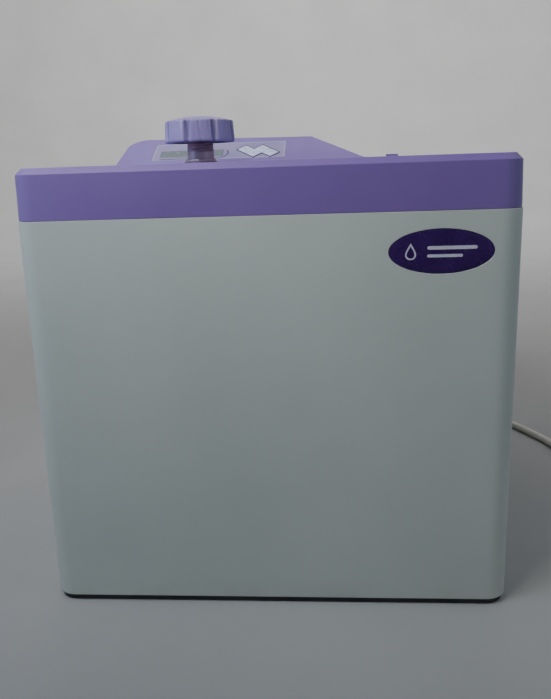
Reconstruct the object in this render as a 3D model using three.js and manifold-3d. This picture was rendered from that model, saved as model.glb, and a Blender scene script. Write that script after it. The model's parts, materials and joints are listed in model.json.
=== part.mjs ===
// Benchtop steam steriliser with a knob-clamped front door.
// Millimetres. +X is the right-hand side seen from the front, +Y points to the back, +Z up.
// The origin is the middle of the footprint on the surface that the feet stand on.
import * as THREE from 'three';
import { mergeVertices } from 'three/addons/utils/BufferGeometryUtils.js';
import Module from 'manifold-3d';

const wasm = await Module();
wasm.setup();

// ---- driving dimensions -------------------------------------------------------------------

const WIDTH = 445;            // across the casing
const DEPTH = 560;            // door face to the tip of the wall spacer
const COVER_TOP = 420;        // top face of the purple cover
const CASING_BOTTOM = 6.5;    // lower edge of the door and the side panels
const JOINT_Z = 374.5;        // line where the grey casing meets the purple cover
const DOOR_THICK = 92;
const DOOR_GAP = 4;           // between the shut door and the cabinet
const CORNER_R = 21;          // upright edges at the door's front corners
const REAR_R = 6;             // and at the back of the cover
const CHAMFER = 5.5;          // top edge of the cover
const STEP = 0.8;             // the purple cover stands this far inside the grey casing
const DRAFT = 1;              // the cover leans in by this much up to its chamfer
const WALL = 3;               // plastic shells
const GAP = 0.3;              // between touching pieces

const FRONT = -DEPTH / 2;
const BACK = DEPTH / 2;
const HALF_W = WIDTH / 2;
const DOOR_BACK = FRONT + DOOR_THICK;
const BODY_FRONT = DOOR_BACK + DOOR_GAP;
const BODY_BACK = 258;
const REAR_FACE = 256.5;      // outside of the rear panel
const REAR_SHEET = 1.5;
const PAN = { low: 3, floor: 5, skirt: 0.8, rim: 34, inset: 2.5, back: 254, sheet: 1.5 };   // the base pan
const FOOT = { x: 190, front: -225, back: 215 };

const HINGE_R = 14;           // rounding of the door's hinge corner
const HINGE = { x: HALF_W - HINGE_R, y: DOOR_BACK - HINGE_R };
const HINGE_HEIGHTS = { upper: 318, lower: 92 };
const HINGE_PIN_R = 5;
const HINGE_ARM = { half: 8, thick: 10 };

const CHAMBER = { z: 222, bore: 121.5, wall: 2.5, back: 175 };
const FLANGE = { r: 146, front: -190, back: -176 };
const JACKET_R = 140;
const LID = { r: 144, front: -206, back: -196.3, raised: 60, pressed: 118 };
const GASKET = { inner: 126, outer: 137 };
const CRADLE = { halfW: 112, front: -120, back: 110, sheet: 3, high: 135, railX: 95 };
const RACK = {
  x: 79, front: -160, back: 140, low: 160, high: 284, sheet: 1.6, foot: 134, ledges: [165, 230],
};
const TRAY = { halfW: 76, front: -154, back: 134, high: 14, wall: 1.5 };
const STUD = { offset: 112, neck: 7, head: 11, tip: -222 };

// The door's inner steel plate, its two windows and its hinge ears.
const CARRIER = {
  x0: -190, x1: 196, front: -262, back: -256, low: 60, high: 352, seatLow: 377,
  ear: { below: 13.4, above: 5.4, thick: 8 }, window: { x: 110, half: 40, margin: 26 },
};
const PIN_PLAY = 0.35;        // round a turning pin

const KNOB = {
  x: -57.4, y: FRONT + 42, r: 31.2, bottom: 437.2, edge: 456, top: 460,
  lobes: 8, fluteR: 9, fluteDeep: 1.8, turned: 11.6,
};
const STEM_R = 12;
const JOURNAL_R = 8;
const SHELF = { low: 345, high: 353 };
const NUT = { low: 383.4, r: 20, flangeR: 26, flange: 4.6, high: 410 };
const WASHER = { bore: STEM_R + 0.6, r: 15.4, high: 3.4 };
const PLATE = { half: 140, back: -208, thick: 6, drop: 12 };   // the lock plate and its stroke

const PANEL_TILT = THREE.MathUtils.degToRad(27);
const PANEL_FOOT = { y: BODY_FRONT + 1, z: COVER_TOP };
// The console's hump: its sides at the cover, the end of the ridge, the back and the round left shoulder.
const CONSOLE = {
  left: -152, right: 94, ridgeEnd: 40, back: -50, ridge: 56,
  shoulder: { x: -128, rx: 20, ry: 9.5, sweep: 81 },
};
const LABEL = { x0: -118, x1: 14.6, s0: 8, s1: 43, thick: 0.5 };
const LCD = { x: -79, s: 21, w: 62.4, h: 13.4 };
const KEY = { x: -12.5, s: 21.8, step: 8.4, play: GAP };

// The water tank is L-shaped: a shelf over the chamber and a leg down the right side.
const TANK = {
  x0: 20, x1: 214, legX: 148, y0: -40, y1: 245, low: 190, shelf: 367, high: 409, wall: 3,
  neck: { x0: 90, x1: 170, y0: -20, y1: 80, high: 414 },
};
const TANK_LID = {
  x0: 80, x1: 180, y0: -38, axisY: 96, barrel: 2.9, pinR: 1.5, lug: 8, tabX: 130, tabHalf: 6.5, tabUp: 4.5,
};
const FAN = { x: -165, z: 62, frame: 80, r: 36, front: 228, deep: 25, hub: 15, blades: 7, pitch: 38 };
const SIDE_SLOTS = { count: 9, y: 110, step: 14, wide: 5, low: 40, high: 110 };
const LOUVRES = { count: 8, x0: -190, x1: -110, z: 180, step: 14, high: 5 };
const GRILLE = { r: 34, rows: [-25, -15, -5, 5, 15, 25], high: 6 };
const SWITCH = { x: 120, z: 60, halfX: 13, halfZ: 15.5, back: 238, bezel: 3 };
const ROCKER = {
  y: 257, tilt: 12, half: 9.1,
  outline: [[-5, -4], [-1, -11], [5, -12], [2.4, 0], [5, 12], [-1, 11], [-5, 4]],
};
const FUSE = { x: 84, z: 60, r: 7, front: 240, capR: 8, tip: 268 };
const GLAND = { x: 165, z: 45, r: 9, front: 246, nutR: 13, tip: 274 };
const DRAIN = { x: -40, y: 266, z: 40, neck: 7, front: 240 };
const VALVE = { x: 70, z: 330, pivotY: 264, pivotZ: 346, neck: 8, front: 236, bodyR: 12, pinR: 1.5 };
const SPACER = { half: 120, low: 350, high: 366, thick: 4, padX: 100, padR: 8 };

const CORD_R = 5;
const COIL = {
  x: 454, y: 60, inner: 44.5, outer: 75.5, turnIn: 70, turnOut: 65, high: 20.5, stubIn: 37, stubOut: 54,
};
const PLUG = { z: 18.3, bodyR: 18, relief: 26, body: 30, pinR: 2.4, pin: 19 };
const CORD_LOW = CORD_R + 0.2;                    // middle of the lead where it lies on the surface
const CORD_HIGH = 15;                             // and on top of the coil's first layer
// The free stretch of the mains lead: straight out of the gland, down to the surface, round the casing's
// corner and forward to the coil.
const CORD_ROUTE = [
  [GLAND.x, GLAND.tip + GAP, GLAND.z], [166, 288, 44.4], [170.5, 302, 41.5], [179.5, 315, 37.5],
  [194, 326, 31], [210, 332, 23], [227, 334, 15], [244, 332, 9], [260, 327, 6],
  [275, 319, CORD_LOW], [289, 308, CORD_LOW], [302, 292, CORD_LOW], [312, 273, CORD_LOW],
  [321, 252, CORD_LOW], [331, 230, CORD_LOW], [342, 208, CORD_LOW], [353, 187, CORD_LOW],
  [363, 166, CORD_LOW], [371, 148, CORD_LOW], [377, 132, CORD_LOW], [381, 119, CORD_LOW],
  [383.5, 107, CORD_LOW], [COIL.x - COIL.turnIn, COIL.y + COIL.stubIn + GAP, CORD_LOW],
];

// Services on the base pan and on the left wall.
const TRANSFORMER = { x: -171, y: -70 };
const MAIN_BOARD = {
  x: -214, thick: 1.6, y0: -160, y1: -20, low: 232, high: 350,
  relays: [[-150, 245], [-150, 275], [-118, 245], [-60, 240], [-60, 300]],
};
const PUMP = { x: 170, z: 48, motorR: 26, headR: 19, spoutR: 5, tip: -108, head: -92, motor: -70, back: 0 };
const MANIFOLD = { x0: 140, x1: 190, y0: 60, y1: 122, high: 42, coilHigh: 86, coilR: 11, coils: [78, 104] };
const CONDENSER = { turns: 6, stepsPerTurn: 12, r: 33, tubeR: 4.5, start: 90, length: 90 };

// ---- finishes -----------------------------------------------------------------------------

const finish = (color, roughness, metalness = 0) =>
  new THREE.MeshStandardMaterial({ color, roughness, metalness });
const GREY = finish(0xb9c2c0, 0.55);
const PURPLE = finish(0x6f63a8, 0.5);
const LILAC = finish(0x9a90c8, 0.45);
const INDIGO = finish(0x2d1a58, 0.35);
const KEY_WHITE = finish(0xdfe2f2, 0.45);
const BLACK = finish(0x17171a, 0.7);
const RUBBER = finish(0x222224, 0.9);
const STEEL = finish(0xc4c7ca, 0.3, 1);
const DARK_STEEL = finish(0x6f6a70, 0.35, 1);
const ZINC = finish(0x9aa0a3, 0.5, 1);
const BRASS = finish(0xb99a4e, 0.35, 1);
const COPPER = finish(0xb87346, 0.35, 1);
const SILICONE = finish(0xd8d4c8, 0.7);
const FELT = finish(0xdcd6c4, 0.95);
const TANK_WHITE = finish(0xd5dadb, 0.5);
const BOARD = finish(0x1f6b3a, 0.6);
const LCD_GREEN = finish(0x8b9c92, 0.3);
const CORD_WHITE = finish(0xe0dccd, 0.6);
const RED = finish(0xb02a2a, 0.5);

// ---- shape helpers ------------------------------------------------------------------------

// A closed solid from a closed geometry.
function solid(geometry) {
  const bare = geometry.clone();
  bare.deleteAttribute('normal');
  bare.deleteAttribute('uv');
  const merged = mergeVertices(bare, 1e-4);
  return new wasm.Manifold(new wasm.Mesh({
    numProp: 3,
    vertProperties: merged.attributes.position.array,
    triVerts: new Uint32Array(merged.index.array),
  }));
}

function geometryOf(manifold) {
  const { vertProperties, triVerts } = manifold.getMesh();
  const geometry = new THREE.BufferGeometry();
  geometry.setAttribute('position', new THREE.BufferAttribute(vertProperties, 3));
  geometry.setIndex(new THREE.BufferAttribute(triVerts, 1));
  return geometry;
}

const join = (...pieces) =>
  geometryOf(pieces.map(solid).reduce((sum, next) => sum.add(next)));
const cut = (base, ...tools) =>
  geometryOf(tools.map(solid).reduce((left, tool) => left.subtract(tool), solid(base)));
const common = (a, b) => geometryOf(solid(a).intersect(solid(b)));

const box = (x0, x1, y0, y1, z0, z1) =>
  new THREE.BoxGeometry(x1 - x0, y1 - y0, z1 - z0)
    .translate((x0 + x1) / 2, (y0 + y1) / 2, (z0 + z1) / 2);

const rodX = (r, x0, x1, y, z, sides = 16) =>
  new THREE.CylinderGeometry(r, r, x1 - x0, sides).rotateZ(-Math.PI / 2)
    .translate((x0 + x1) / 2, y, z);
const rodY = (r, y0, y1, x, z, sides = 16) =>
  new THREE.CylinderGeometry(r, r, y1 - y0, sides).translate(x, (y0 + y1) / 2, z);
const rodZ = (r, z0, z1, x, y, sides = 16) =>
  new THREE.CylinderGeometry(r, r, z1 - z0, sides).rotateX(Math.PI / 2)
    .translate(x, y, (z0 + z1) / 2);

const points2 = (pairs) => pairs.map(([a, b]) => new THREE.Vector2(a, b));

// A turned piece from [radius, height] pairs, about the upright axis through x, y.
const turnZ = (profile, x, y, sides = 32) =>
  new THREE.LatheGeometry(points2(profile), sides).rotateX(Math.PI / 2).translate(x, y, 0);
// The same about the axis through x, z that runs front to back; heights are along Y.
const turnY = (profile, x, z, sides = 40) =>
  new THREE.LatheGeometry(points2(profile), sides).translate(x, 0, z);
const ringY = (inner, outer, y0, y1, x, z, sides = 40) =>
  turnY([[inner, y0], [outer, y0], [outer, y1], [inner, y1], [inner, y0]], x, z, sides);

// A prism from an outline in X and Z, from y0 to y1.
const prismY = (pairs, y0, y1) =>
  new THREE.ExtrudeGeometry(new THREE.Shape(points2(pairs)), { depth: y1 - y0, bevelEnabled: false })
    .rotateX(Math.PI / 2).translate(0, y1, 0);
// A prism from an outline in Y and Z, from x0 to x1.
const prismX = (pairs, x0, x1) =>
  new THREE.ExtrudeGeometry(new THREE.Shape(points2(pairs)), { depth: x1 - x0, bevelEnabled: false })
    .rotateY(Math.PI / 2).rotateX(Math.PI / 2).translate(x0, 0, 0);

// A plan outline with its own radius at each corner: front left, front right, back right, back left.
function plan(x0, x1, y0, y1, radii, steps = 9) {
  const corners = [
    [x0, y0, 1, 1, Math.PI], [x1, y0, -1, 1, 1.5 * Math.PI],
    [x1, y1, -1, -1, 0], [x0, y1, 1, -1, 0.5 * Math.PI],
  ];
  return corners.flatMap(([x, y, sx, sy, start], i) =>
    Array.from({ length: steps + 1 }, (_, k) => {
      const angle = start + (k / steps) * Math.PI / 2;
      const r = radii[i];
      return [x + sx * r + r * Math.cos(angle), y + sy * r + r * Math.sin(angle)];
    }));
}

// A solid through level outlines with equal point counts: [[z, outline], ...] from low to high.
function loft(levels) {
  const count = levels[0][1].length;
  const positions = levels.flatMap(([z, outline]) => outline.flatMap(([x, y]) => [x, y, z]));
  const index = [];
  for (let level = 0; level < levels.length - 1; level += 1) {
    for (let i = 0; i < count; i += 1) {
      const a = level * count + i;
      const b = level * count + ((i + 1) % count);
      index.push(a, b, b + count, a, b + count, a + count);
    }
  }
  const caps = THREE.ShapeUtils.triangulateShape(points2(levels[0][1]), []);
  const top = (levels.length - 1) * count;
  for (const [a, b, c] of caps) {
    index.push(c, b, a, top + a, top + b, top + c);
  }
  const geometry = new THREE.BufferGeometry();
  geometry.setAttribute('position', new THREE.Float32BufferAttribute(positions, 3));
  geometry.setIndex(index);
  return geometry;
}

// From the console's sloped face (x across, s up the slope, n out of it) to the part's frame.
const onPanel = (geometry) =>
  geometry.rotateX(PANEL_TILT).translate(0, PANEL_FOOT.y, PANEL_FOOT.z);

const assembly = new THREE.Group();
function add(name, geometry, material) {
  const mesh = new THREE.Mesh(geometry, material);
  mesh.name = name;
  assembly.add(mesh);
}

// ---- door ---------------------------------------------------------------------------------

const doorPlan = (inset, lean = inset) => plan(
  -HALF_W + lean, HALF_W - lean, FRONT + lean, DOOR_BACK - inset,
  [CORNER_R, CORNER_R, HINGE_R, 3].map((r) => Math.max(r - lean, 0.5)));
const RETURN_X = 196.5;       // the shell turns in behind the hinge as far as this

function hingeNotch(height) {
  const half = HINGE_ARM.thick / 2 + 2.5;
  return box(190, HALF_W + 5, -217, BODY_FRONT, height - half, height + half);
}

function doorShell() {
  const outer = loft([[CASING_BOTTOM, doorPlan(0)], [JOINT_Z - GAP, doorPlan(0)]]);
  const hollow = loft([[CASING_BOTTOM + WALL, doorPlan(WALL)], [JOINT_Z + 1, doorPlan(WALL)]]);
  const back = box(-HALF_W + WALL, RETURN_X, -200, BODY_FRONT, CASING_BOTTOM + WALL, JOINT_Z + 1);
  return cut(outer, hollow, back, ...Object.values(HINGE_HEIGHTS).map(hingeNotch));
}

function doorCap() {
  const outer = loft([
    [JOINT_Z, doorPlan(0, STEP)],
    [COVER_TOP - CHAMFER, doorPlan(0, STEP + DRAFT)],
    [COVER_TOP, doorPlan(0, STEP + DRAFT + CHAMFER)],
  ]);
  const hollow = loft([
    [JOINT_Z - 1, doorPlan(WALL)],
    [COVER_TOP - CHAMFER - 1, doorPlan(WALL, WALL + DRAFT)],
    [COVER_TOP - WALL, doorPlan(WALL, WALL + DRAFT + CHAMFER - 1)],
  ]);
  return cut(outer, hollow, rodZ(STEM_R + 2, 400, 430, KNOB.x, KNOB.y));
}

function doorLiner() {
  const plate = box(-HALF_W + WALL + GAP, RETURN_X - GAP, DOOR_BACK - 3, DOOR_BACK,
    CASING_BOTTOM + WALL + GAP, JOINT_Z - 1);
  const studHoles = studPlaces().map(([x, z]) => rodY(STUD.head + 4, -200, -180, x, z));
  return cut(plate, rodY(LID.r + 6, -200, -180, 0, CHAMBER.z, 40), ...studHoles);
}

// Inside steelwork: front plate, hinge ears, the boss behind the lid and the nut's seat.
function doorCarrier() {
  const { x0, x1, front, back, low, high, seatLow, ear, window } = CARRIER;
  const plate = box(x0, x1, front, back, low, high);
  const windows = [-1, 1].map((side) =>
    box(side * window.x - window.half, side * window.x + window.half, front - 3, back + 6,
      low + window.margin, high - window.margin));
  const seat = box(KNOB.x - 37, KNOB.x + 37, front, -212, seatLow, seatLow + 6);
  const riser = box(KNOB.x - 37, KNOB.x + 37, front, back, high - 7, seatLow + 3);
  const boss = rodY(18, back - 1, LID.front - GAP, 0, CHAMBER.z);
  const ears = Object.values(HINGE_HEIGHTS).flatMap((height) =>
    [height - ear.below, height + ear.above].flatMap((z) => [
      box(x1 - 6, HINGE.x + 7.5, front, back + 6, z, z + ear.thick),
      box(HINGE.x - 8, HINGE.x + 8, front + 2, HINGE.y, z, z + ear.thick),
      rodZ(10, z, z + ear.thick, HINGE.x, HINGE.y),
    ]));
  const pinHoles = Object.values(HINGE_HEIGHTS).map((height) =>
    rodZ(HINGE_PIN_R + PIN_PLAY, height - 20, height + 20, HINGE.x, HINGE.y));
  return cut(join(plate, seat, riser, boss, ...ears), ...windows,
    rodZ(STEM_R + 2, seatLow - 7, seatLow + 7, KNOB.x, KNOB.y), ...pinHoles);
}

function chamberLid() {
  const { r, front, back, raised, pressed } = LID;
  return turnY([
    [0, front], [raised, front], [raised + 10, front + 2], [r - 2, front + 2], [r, front + 4], [r, back],
    [pressed, back], [pressed - 10, back - 3], [0, back - 3], [0, front],
  ], 0, CHAMBER.z, 40);
}

const lidGasket = () => ringY(GASKET.inner, GASKET.outer, LID.back + GAP, FLANGE.front - GAP, 0, CHAMBER.z);

function spindleNut() {
  const { low, r, flangeR, flange, high } = NUT;
  const bore = STEM_R + PIN_PLAY;
  return turnZ([
    [bore, low], [flangeR, low], [flangeR, low + flange], [r, low + flange + 2], [r, high], [bore, high],
    [bore, low],
  ], KNOB.x, KNOB.y, 24);
}

function stemWasher() {
  const { bore, r, high } = WASHER;
  const low = COVER_TOP + GAP;
  return turnZ([
    [bore, low], [r, low], [r, COVER_TOP + 1.4], [r - 2, COVER_TOP + high], [bore, COVER_TOP + high],
    [bore, low],
  ], KNOB.x, KNOB.y, 24);
}

const BADGE = { x: 151.5, z: 340.2, halfW: 44.6, halfH: 19, thick: 1.6 };
const doorBadge = () => rodY(1, FRONT + GAP, FRONT + BADGE.thick, 0, 0, 40)
  .scale(BADGE.halfW, 1, BADGE.halfH).translate(BADGE.x, 0, BADGE.z);
const badgeSeat = () => rodY(1, FRONT - 1, FRONT + BADGE.thick + GAP, 0, 0, 40)
  .scale(BADGE.halfW + GAP, 1, BADGE.halfH + GAP).translate(BADGE.x, 0, BADGE.z);

add('door_shell', cut(doorShell(), badgeSeat()), GREY);
add('door_cap', doorCap(), PURPLE);
add('door_liner', doorLiner(), GREY);
add('door_badge', doorBadge(), INDIGO);
add('door_carrier', doorCarrier(), ZINC);
add('chamber_lid', chamberLid(), STEEL);
add('lid_gasket', lidGasket(), SILICONE);
add('spindle_nut', spindleNut(), BRASS);
add('stem_washer', stemWasher(), STEEL);

// ---- door lock ----------------------------------------------------------------------------

function studPlaces() {
  return [-1, 1].flatMap((side) => [-1, 1].map((level) =>
    [side * STUD.offset, CHAMBER.z + level * STUD.offset]));
}

// A plate with four keyholes that drops behind the heads of the flange's studs, and the shelf
// that the spindle's collars hold.
function lockPlate() {
  const { half, back, thick, drop } = PLATE;
  const [y0, y1] = [back - thick - 6, back + 8];
  const plate = box(-half, half, back - thick, back, CHAMBER.z - half, CHAMBER.z + half);
  const shelf = box(KNOB.x - 26, KNOB.x + 26, -252, back - 4, SHELF.low, SHELF.high);
  const keyholes = studPlaces().flatMap(([x, z]) => [
    rodY(STUD.head + 2, y0, y1, x, z),
    box(x - STUD.neck - 1, x + STUD.neck + 1, y0, y1, z, z + drop),
    rodY(STUD.neck + 1, y0, y1, x, z + drop),
  ]);
  const bossSlot = [rodY(20, y0, y1, 0, CHAMBER.z), rodY(20, y0, y1, 0, CHAMBER.z + drop + 1),
    box(-20, 20, y0, y1, CHAMBER.z, CHAMBER.z + drop + 1)];
  const journalHole = rodZ(JOURNAL_R + PIN_PLAY, SHELF.low - 5, SHELF.high + 5, KNOB.x, KNOB.y);
  return cut(join(plate, shelf), ...keyholes, ...bossSlot, journalHole);
}

const lockSpindle = () => turnZ([
  [0, 334], [JOURNAL_R + 5, 334], [JOURNAL_R + 5, SHELF.low - GAP], [JOURNAL_R, SHELF.low - GAP],
  [JOURNAL_R, SHELF.high + GAP], [STEM_R, SHELF.high + 3], [STEM_R, KNOB.bottom - GAP],
  [JOURNAL_R, KNOB.bottom - GAP], [JOURNAL_R, KNOB.bottom + 10], [0, KNOB.bottom + 10], [0, 334],
], KNOB.x, KNOB.y, 24);

function doorKnob() {
  const rise = KNOB.top - KNOB.edge;
  const body = turnZ([
    [0, KNOB.bottom], [KNOB.r - 2, KNOB.bottom], [KNOB.r, KNOB.bottom + 2],
    [KNOB.r - 0.8, KNOB.edge - 2.2], [KNOB.r - 3, KNOB.edge], [KNOB.r * 0.55, KNOB.top - rise * 0.25],
    [0, KNOB.top], [0, KNOB.bottom],
  ], KNOB.x, KNOB.y, 48);
  const flutes = Array.from({ length: KNOB.lobes }, (_, i) => {
    const angle = ((i + 0.5) / KNOB.lobes) * 2 * Math.PI + THREE.MathUtils.degToRad(KNOB.turned);
    const out = KNOB.r + KNOB.fluteR - KNOB.fluteDeep;
    return rodZ(KNOB.fluteR, KNOB.bottom - 5, KNOB.top + 5,
      KNOB.x + out * Math.cos(angle), KNOB.y + out * Math.sin(angle));
  });
  const socket = rodZ(JOURNAL_R + GAP, KNOB.bottom - 5, KNOB.bottom + 10 + GAP, KNOB.x, KNOB.y);
  return cut(body, ...flutes, socket);
}

add('lock_plate', lockPlate(), ZINC);
add('lock_spindle', lockSpindle(), DARK_STEEL);
add('door_knob', doorKnob(), PURPLE);

// ---- cabinet casing -----------------------------------------------------------------------

const coverPlan = (inset, lean) => plan(
  -HALF_W + lean, HALF_W - lean, BODY_FRONT + (inset ? -2 : 0), BODY_BACK - lean,
  [0.5, 0.5, REAR_R - lean / 2, REAR_R - lean / 2]);

// The console: an outline seen from the front, crossed with an outline seen from the side.
function consoleHump(inset) {
  const rise = (s) => PANEL_FOOT.z + s * Math.sin(PANEL_TILT);
  const low = inset ? 405 : COVER_TOP - 1;
  const { left, right, ridgeEnd, back, shoulder } = CONSOLE;
  const round = Array.from({ length: 7 }, (_, i) => {
    const angle = Math.PI / 2 + (i / 6) * (shoulder.sweep * Math.PI) / 180;
    return [shoulder.x + shoulder.rx * Math.cos(angle) + inset,
      rise(CONSOLE.ridge) - shoulder.ry * (1 - Math.sin(angle)) - inset];
  });
  const front = prismY([
    [left - 1 + inset, low], [right - inset * 2.4, low], [right - inset * 2.4, COVER_TOP - 0.4],
    [ridgeEnd - inset * 0.6, rise(CONSOLE.ridge - 4.7) - inset], ...round, [left + inset, COVER_TOP + 1],
  ], PANEL_FOOT.y - 10, 0);
  const nose = inset / Math.cos(PANEL_TILT);
  const slope = (run) => PANEL_FOOT.z + run * Math.tan(PANEL_TILT) - nose;
  const side = prismX([
    [PANEL_FOOT.y + inset, low], [back - inset * 1.5, low], [back - inset * 1.5, COVER_TOP],
    [back - 42 - inset, COVER_TOP + 30 - inset], [PANEL_FOOT.y + 66, slope(66)],
    [PANEL_FOOT.y + inset, slope(inset)],
  ], -200, 120);
  return common(front, side);
}

// The four square keys stand on their corners in a zig-zag, edge to edge.
const keyPlaces = () => [-1.5, -0.5, 0.5, 1.5].map((k, i) =>
  [KEY.x + k * KEY.step, KEY.s + (i % 2 ? -0.5 : 0.5) * KEY.step]);

function keyPrism([x, s], play, n0, n1) {
  const half = KEY.step - play * Math.SQRT2;
  return new THREE.CylinderGeometry(half, half, n1 - n0, 4).rotateX(Math.PI / 2)
    .translate(x, s, (n0 + n1) / 2);
}

const keyHoles = (n0, n1) => keyPlaces().map((place) => onPanel(keyPrism(place, -0.02, n0, n1)));
const panelBox = (x0, x1, s0, s1, n0, n1) => onPanel(box(x0, x1, s0, s1, n0, n1));
const lcdBox = (play, n0, n1) => panelBox(LCD.x - LCD.w / 2 - play, LCD.x + LCD.w / 2 + play,
  LCD.s - LCD.h / 2 - play, LCD.s + LCD.h / 2 + play, n0, n1);

function topCover() {
  const shell = loft([
    [JOINT_Z, coverPlan(0, STEP)],
    [COVER_TOP - CHAMFER, coverPlan(0, STEP + DRAFT)],
    [COVER_TOP, coverPlan(0, STEP + DRAFT + CHAMFER)],
  ]);
  const hollow = loft([
    [JOINT_Z - 1, coverPlan(1, WALL)],
    [COVER_TOP - CHAMFER - 1, coverPlan(1, WALL + DRAFT)],
    [COVER_TOP - WALL, coverPlan(1, WALL + DRAFT + CHAMFER - 1)],
  ]);
  const { x0, x1, y0, axisY, barrel, tabX, lug, pinR } = TANK_LID;
  const lidHole = box(x0, x1, y0, axisY + barrel + 0.5, COVER_TOP - 20, COVER_TOP + 10);
  const fingerDip = box(tabX - 12, tabX + 12, y0 - 8, y0 + 1, COVER_TOP - 10, COVER_TOP + 10);
  const lugs = [[x0 - lug, x0 - 0.4], [x1 + 0.4, x1 + lug]].map(([a, b]) =>
    box(a, b, axisY - 5, axisY + 5, COVER_TOP - 9, COVER_TOP - WALL + 1));
  const pinHole = rodX(pinR + 0.4, x0 - 5, x1 + 5, axisY, COVER_TOP - barrel);
  const labelSeat = panelBox(LABEL.x0 - GAP, LABEL.x1 + GAP, LABEL.s0 - GAP, LABEL.s1 + GAP, -0.7, 2);
  const body = join(cut(join(shell, consoleHump(0)), hollow, consoleHump(WALL)), ...lugs);
  return cut(body, lidHole, fingerDip, pinHole, labelSeat, lcdBox(GAP, -9, 5), ...keyHoles(-9, 5));
}

function consoleLabel() {
  const sheet = panelBox(LABEL.x0, LABEL.x1, LABEL.s0, LABEL.s1, -LABEL.thick + 0.1, 0.1);
  return cut(sheet, lcdBox(GAP, -9, 5), ...keyHoles(-9, 5));
}

function displayBoard() {
  const board = panelBox(-120, 12, 6, 40, -8.6, -7);
  const glass = lcdBox(1, -7.2, -3.2);
  const switches = keyPlaces().map(([x, s]) => onPanel(rodZ(2, -7.2, -5.6, x, s, 12)));
  return join(board, glass, ...switches);
}

function baseBend(side) {
  const x = side * (HALF_W - 5);
  return box(Math.min(x, x + side * PAN.sheet), Math.max(x, x + side * PAN.sheet), BODY_FRONT + 2 + GAP,
    PAN.back, PAN.low, PAN.rim);
}

// A floor with a black skirt all round that hides the feet, and a bend up each side.
function basePan() {
  const { low, floor, skirt, inset, back } = PAN;
  const outline = (lean) => plan(-HALF_W + inset + lean, HALF_W - inset - lean, FRONT + inset + lean,
    back - lean, [CORNER_R - inset - lean, CORNER_R - inset - lean, 2, 2]);
  const tub = loft([[skirt, outline(0)], [floor, outline(0)]]);
  const under = loft([[skirt - 1, outline(2.5)], [low, outline(2.5)]]);
  return join(cut(tub, under), baseBend(-1), baseBend(1));
}

function sidePanel(side) {
  const x = side * HALF_W;
  const plate = box(Math.min(x, x - side * 1.5), Math.max(x, x - side * 1.5), BODY_FRONT, BODY_BACK,
    CASING_BOTTOM, JOINT_Z - GAP);
  const { count, y, step, wide, low, high } = SIDE_SLOTS;
  const slots = Array.from({ length: count }, (_, i) =>
    box(x - 5, x + 5, y + i * step, y + i * step + wide, low, high));
  return cut(plate, ...slots);
}

function frontFrame() {
  const plate = join(
    box(-HALF_W + 2.2, HALF_W - 2.2, BODY_FRONT, BODY_FRONT + 2, 8, JOINT_Z - 1),
    box(-HALF_W + 4.5, HALF_W - 4.5, BODY_FRONT, BODY_FRONT + 2, 370, 410));
  const armSlots = Object.values(HINGE_HEIGHTS).map((height) =>
    box(HINGE.x - HINGE_ARM.half - 0.6, HINGE.x + HINGE_ARM.half + 0.6, -190, -175,
      height - HINGE_ARM.thick / 2 - 0.4, height + HINGE_ARM.thick / 2 + 0.4));
  return cut(plate, rodY(FLANGE.r + 0.6, -190, -175, 0, CHAMBER.z, 40), ...armSlots);
}

function hingeBracket(height) {
  const half = HINGE_ARM.thick / 2;
  const { x, y } = HINGE;
  return join(
    box(x - HINGE_ARM.half, x + HINGE_ARM.half, y, BODY_FRONT + 6, height - half, height + half),
    rodZ(HINGE_ARM.half, height - half, height + half, x, y),
    box(175, 217, BODY_FRONT + 2 + GAP, BODY_FRONT + 8, height - 28, height + 28),
    rodZ(HINGE_PIN_R, height - 16, height + 16, x, y));
}

function rearPanel() {
  const plate = box(-HALF_W + 3.5, HALF_W - 3.5, REAR_FACE - REAR_SHEET, REAR_FACE, 8, JOINT_Z - 1);
  const [y0, y1] = [REAR_FACE - 6, REAR_FACE + 6];
  const grille = GRILLE.rows.map((dz) => {
    const half = Math.sqrt(GRILLE.r ** 2 - dz ** 2);
    const z = FAN.z + dz - GRILLE.high / 2;
    return box(FAN.x - half, FAN.x + half, y0, y1, z, z + GRILLE.high);
  });
  const louvres = Array.from({ length: LOUVRES.count }, (_, i) => {
    const z = LOUVRES.z + i * LOUVRES.step;
    return box(LOUVRES.x0, LOUVRES.x1, y0, y1, z, z + LOUVRES.high);
  });
  return cut(plate, ...grille, ...louvres,
    rodY(GLAND.r + 0.6, y0, y1, GLAND.x, GLAND.z),
    box(SWITCH.x - SWITCH.halfX - 0.5, SWITCH.x + SWITCH.halfX + 0.5, y0, y1,
      SWITCH.z - SWITCH.halfZ - 0.5, SWITCH.z + SWITCH.halfZ + 0.5),
    rodY(FUSE.r + 0.6, y0, y1, FUSE.x, FUSE.z),
    rodY(VALVE.neck + 0.4, y0, y1, VALVE.x, VALVE.z),
    rodY(DRAIN.neck + 0.4, y0, y1, DRAIN.x, DRAIN.z));
}

function wallSpacer() {
  const { half, low, high, thick, padX, padR } = SPACER;
  return join(box(-half, half, REAR_FACE + GAP, REAR_FACE + thick, low, high),
    ...[-padX, padX].map((x) => rodY(padR, REAR_FACE + thick - 1, BACK, x, (low + high) / 2)));
}

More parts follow.
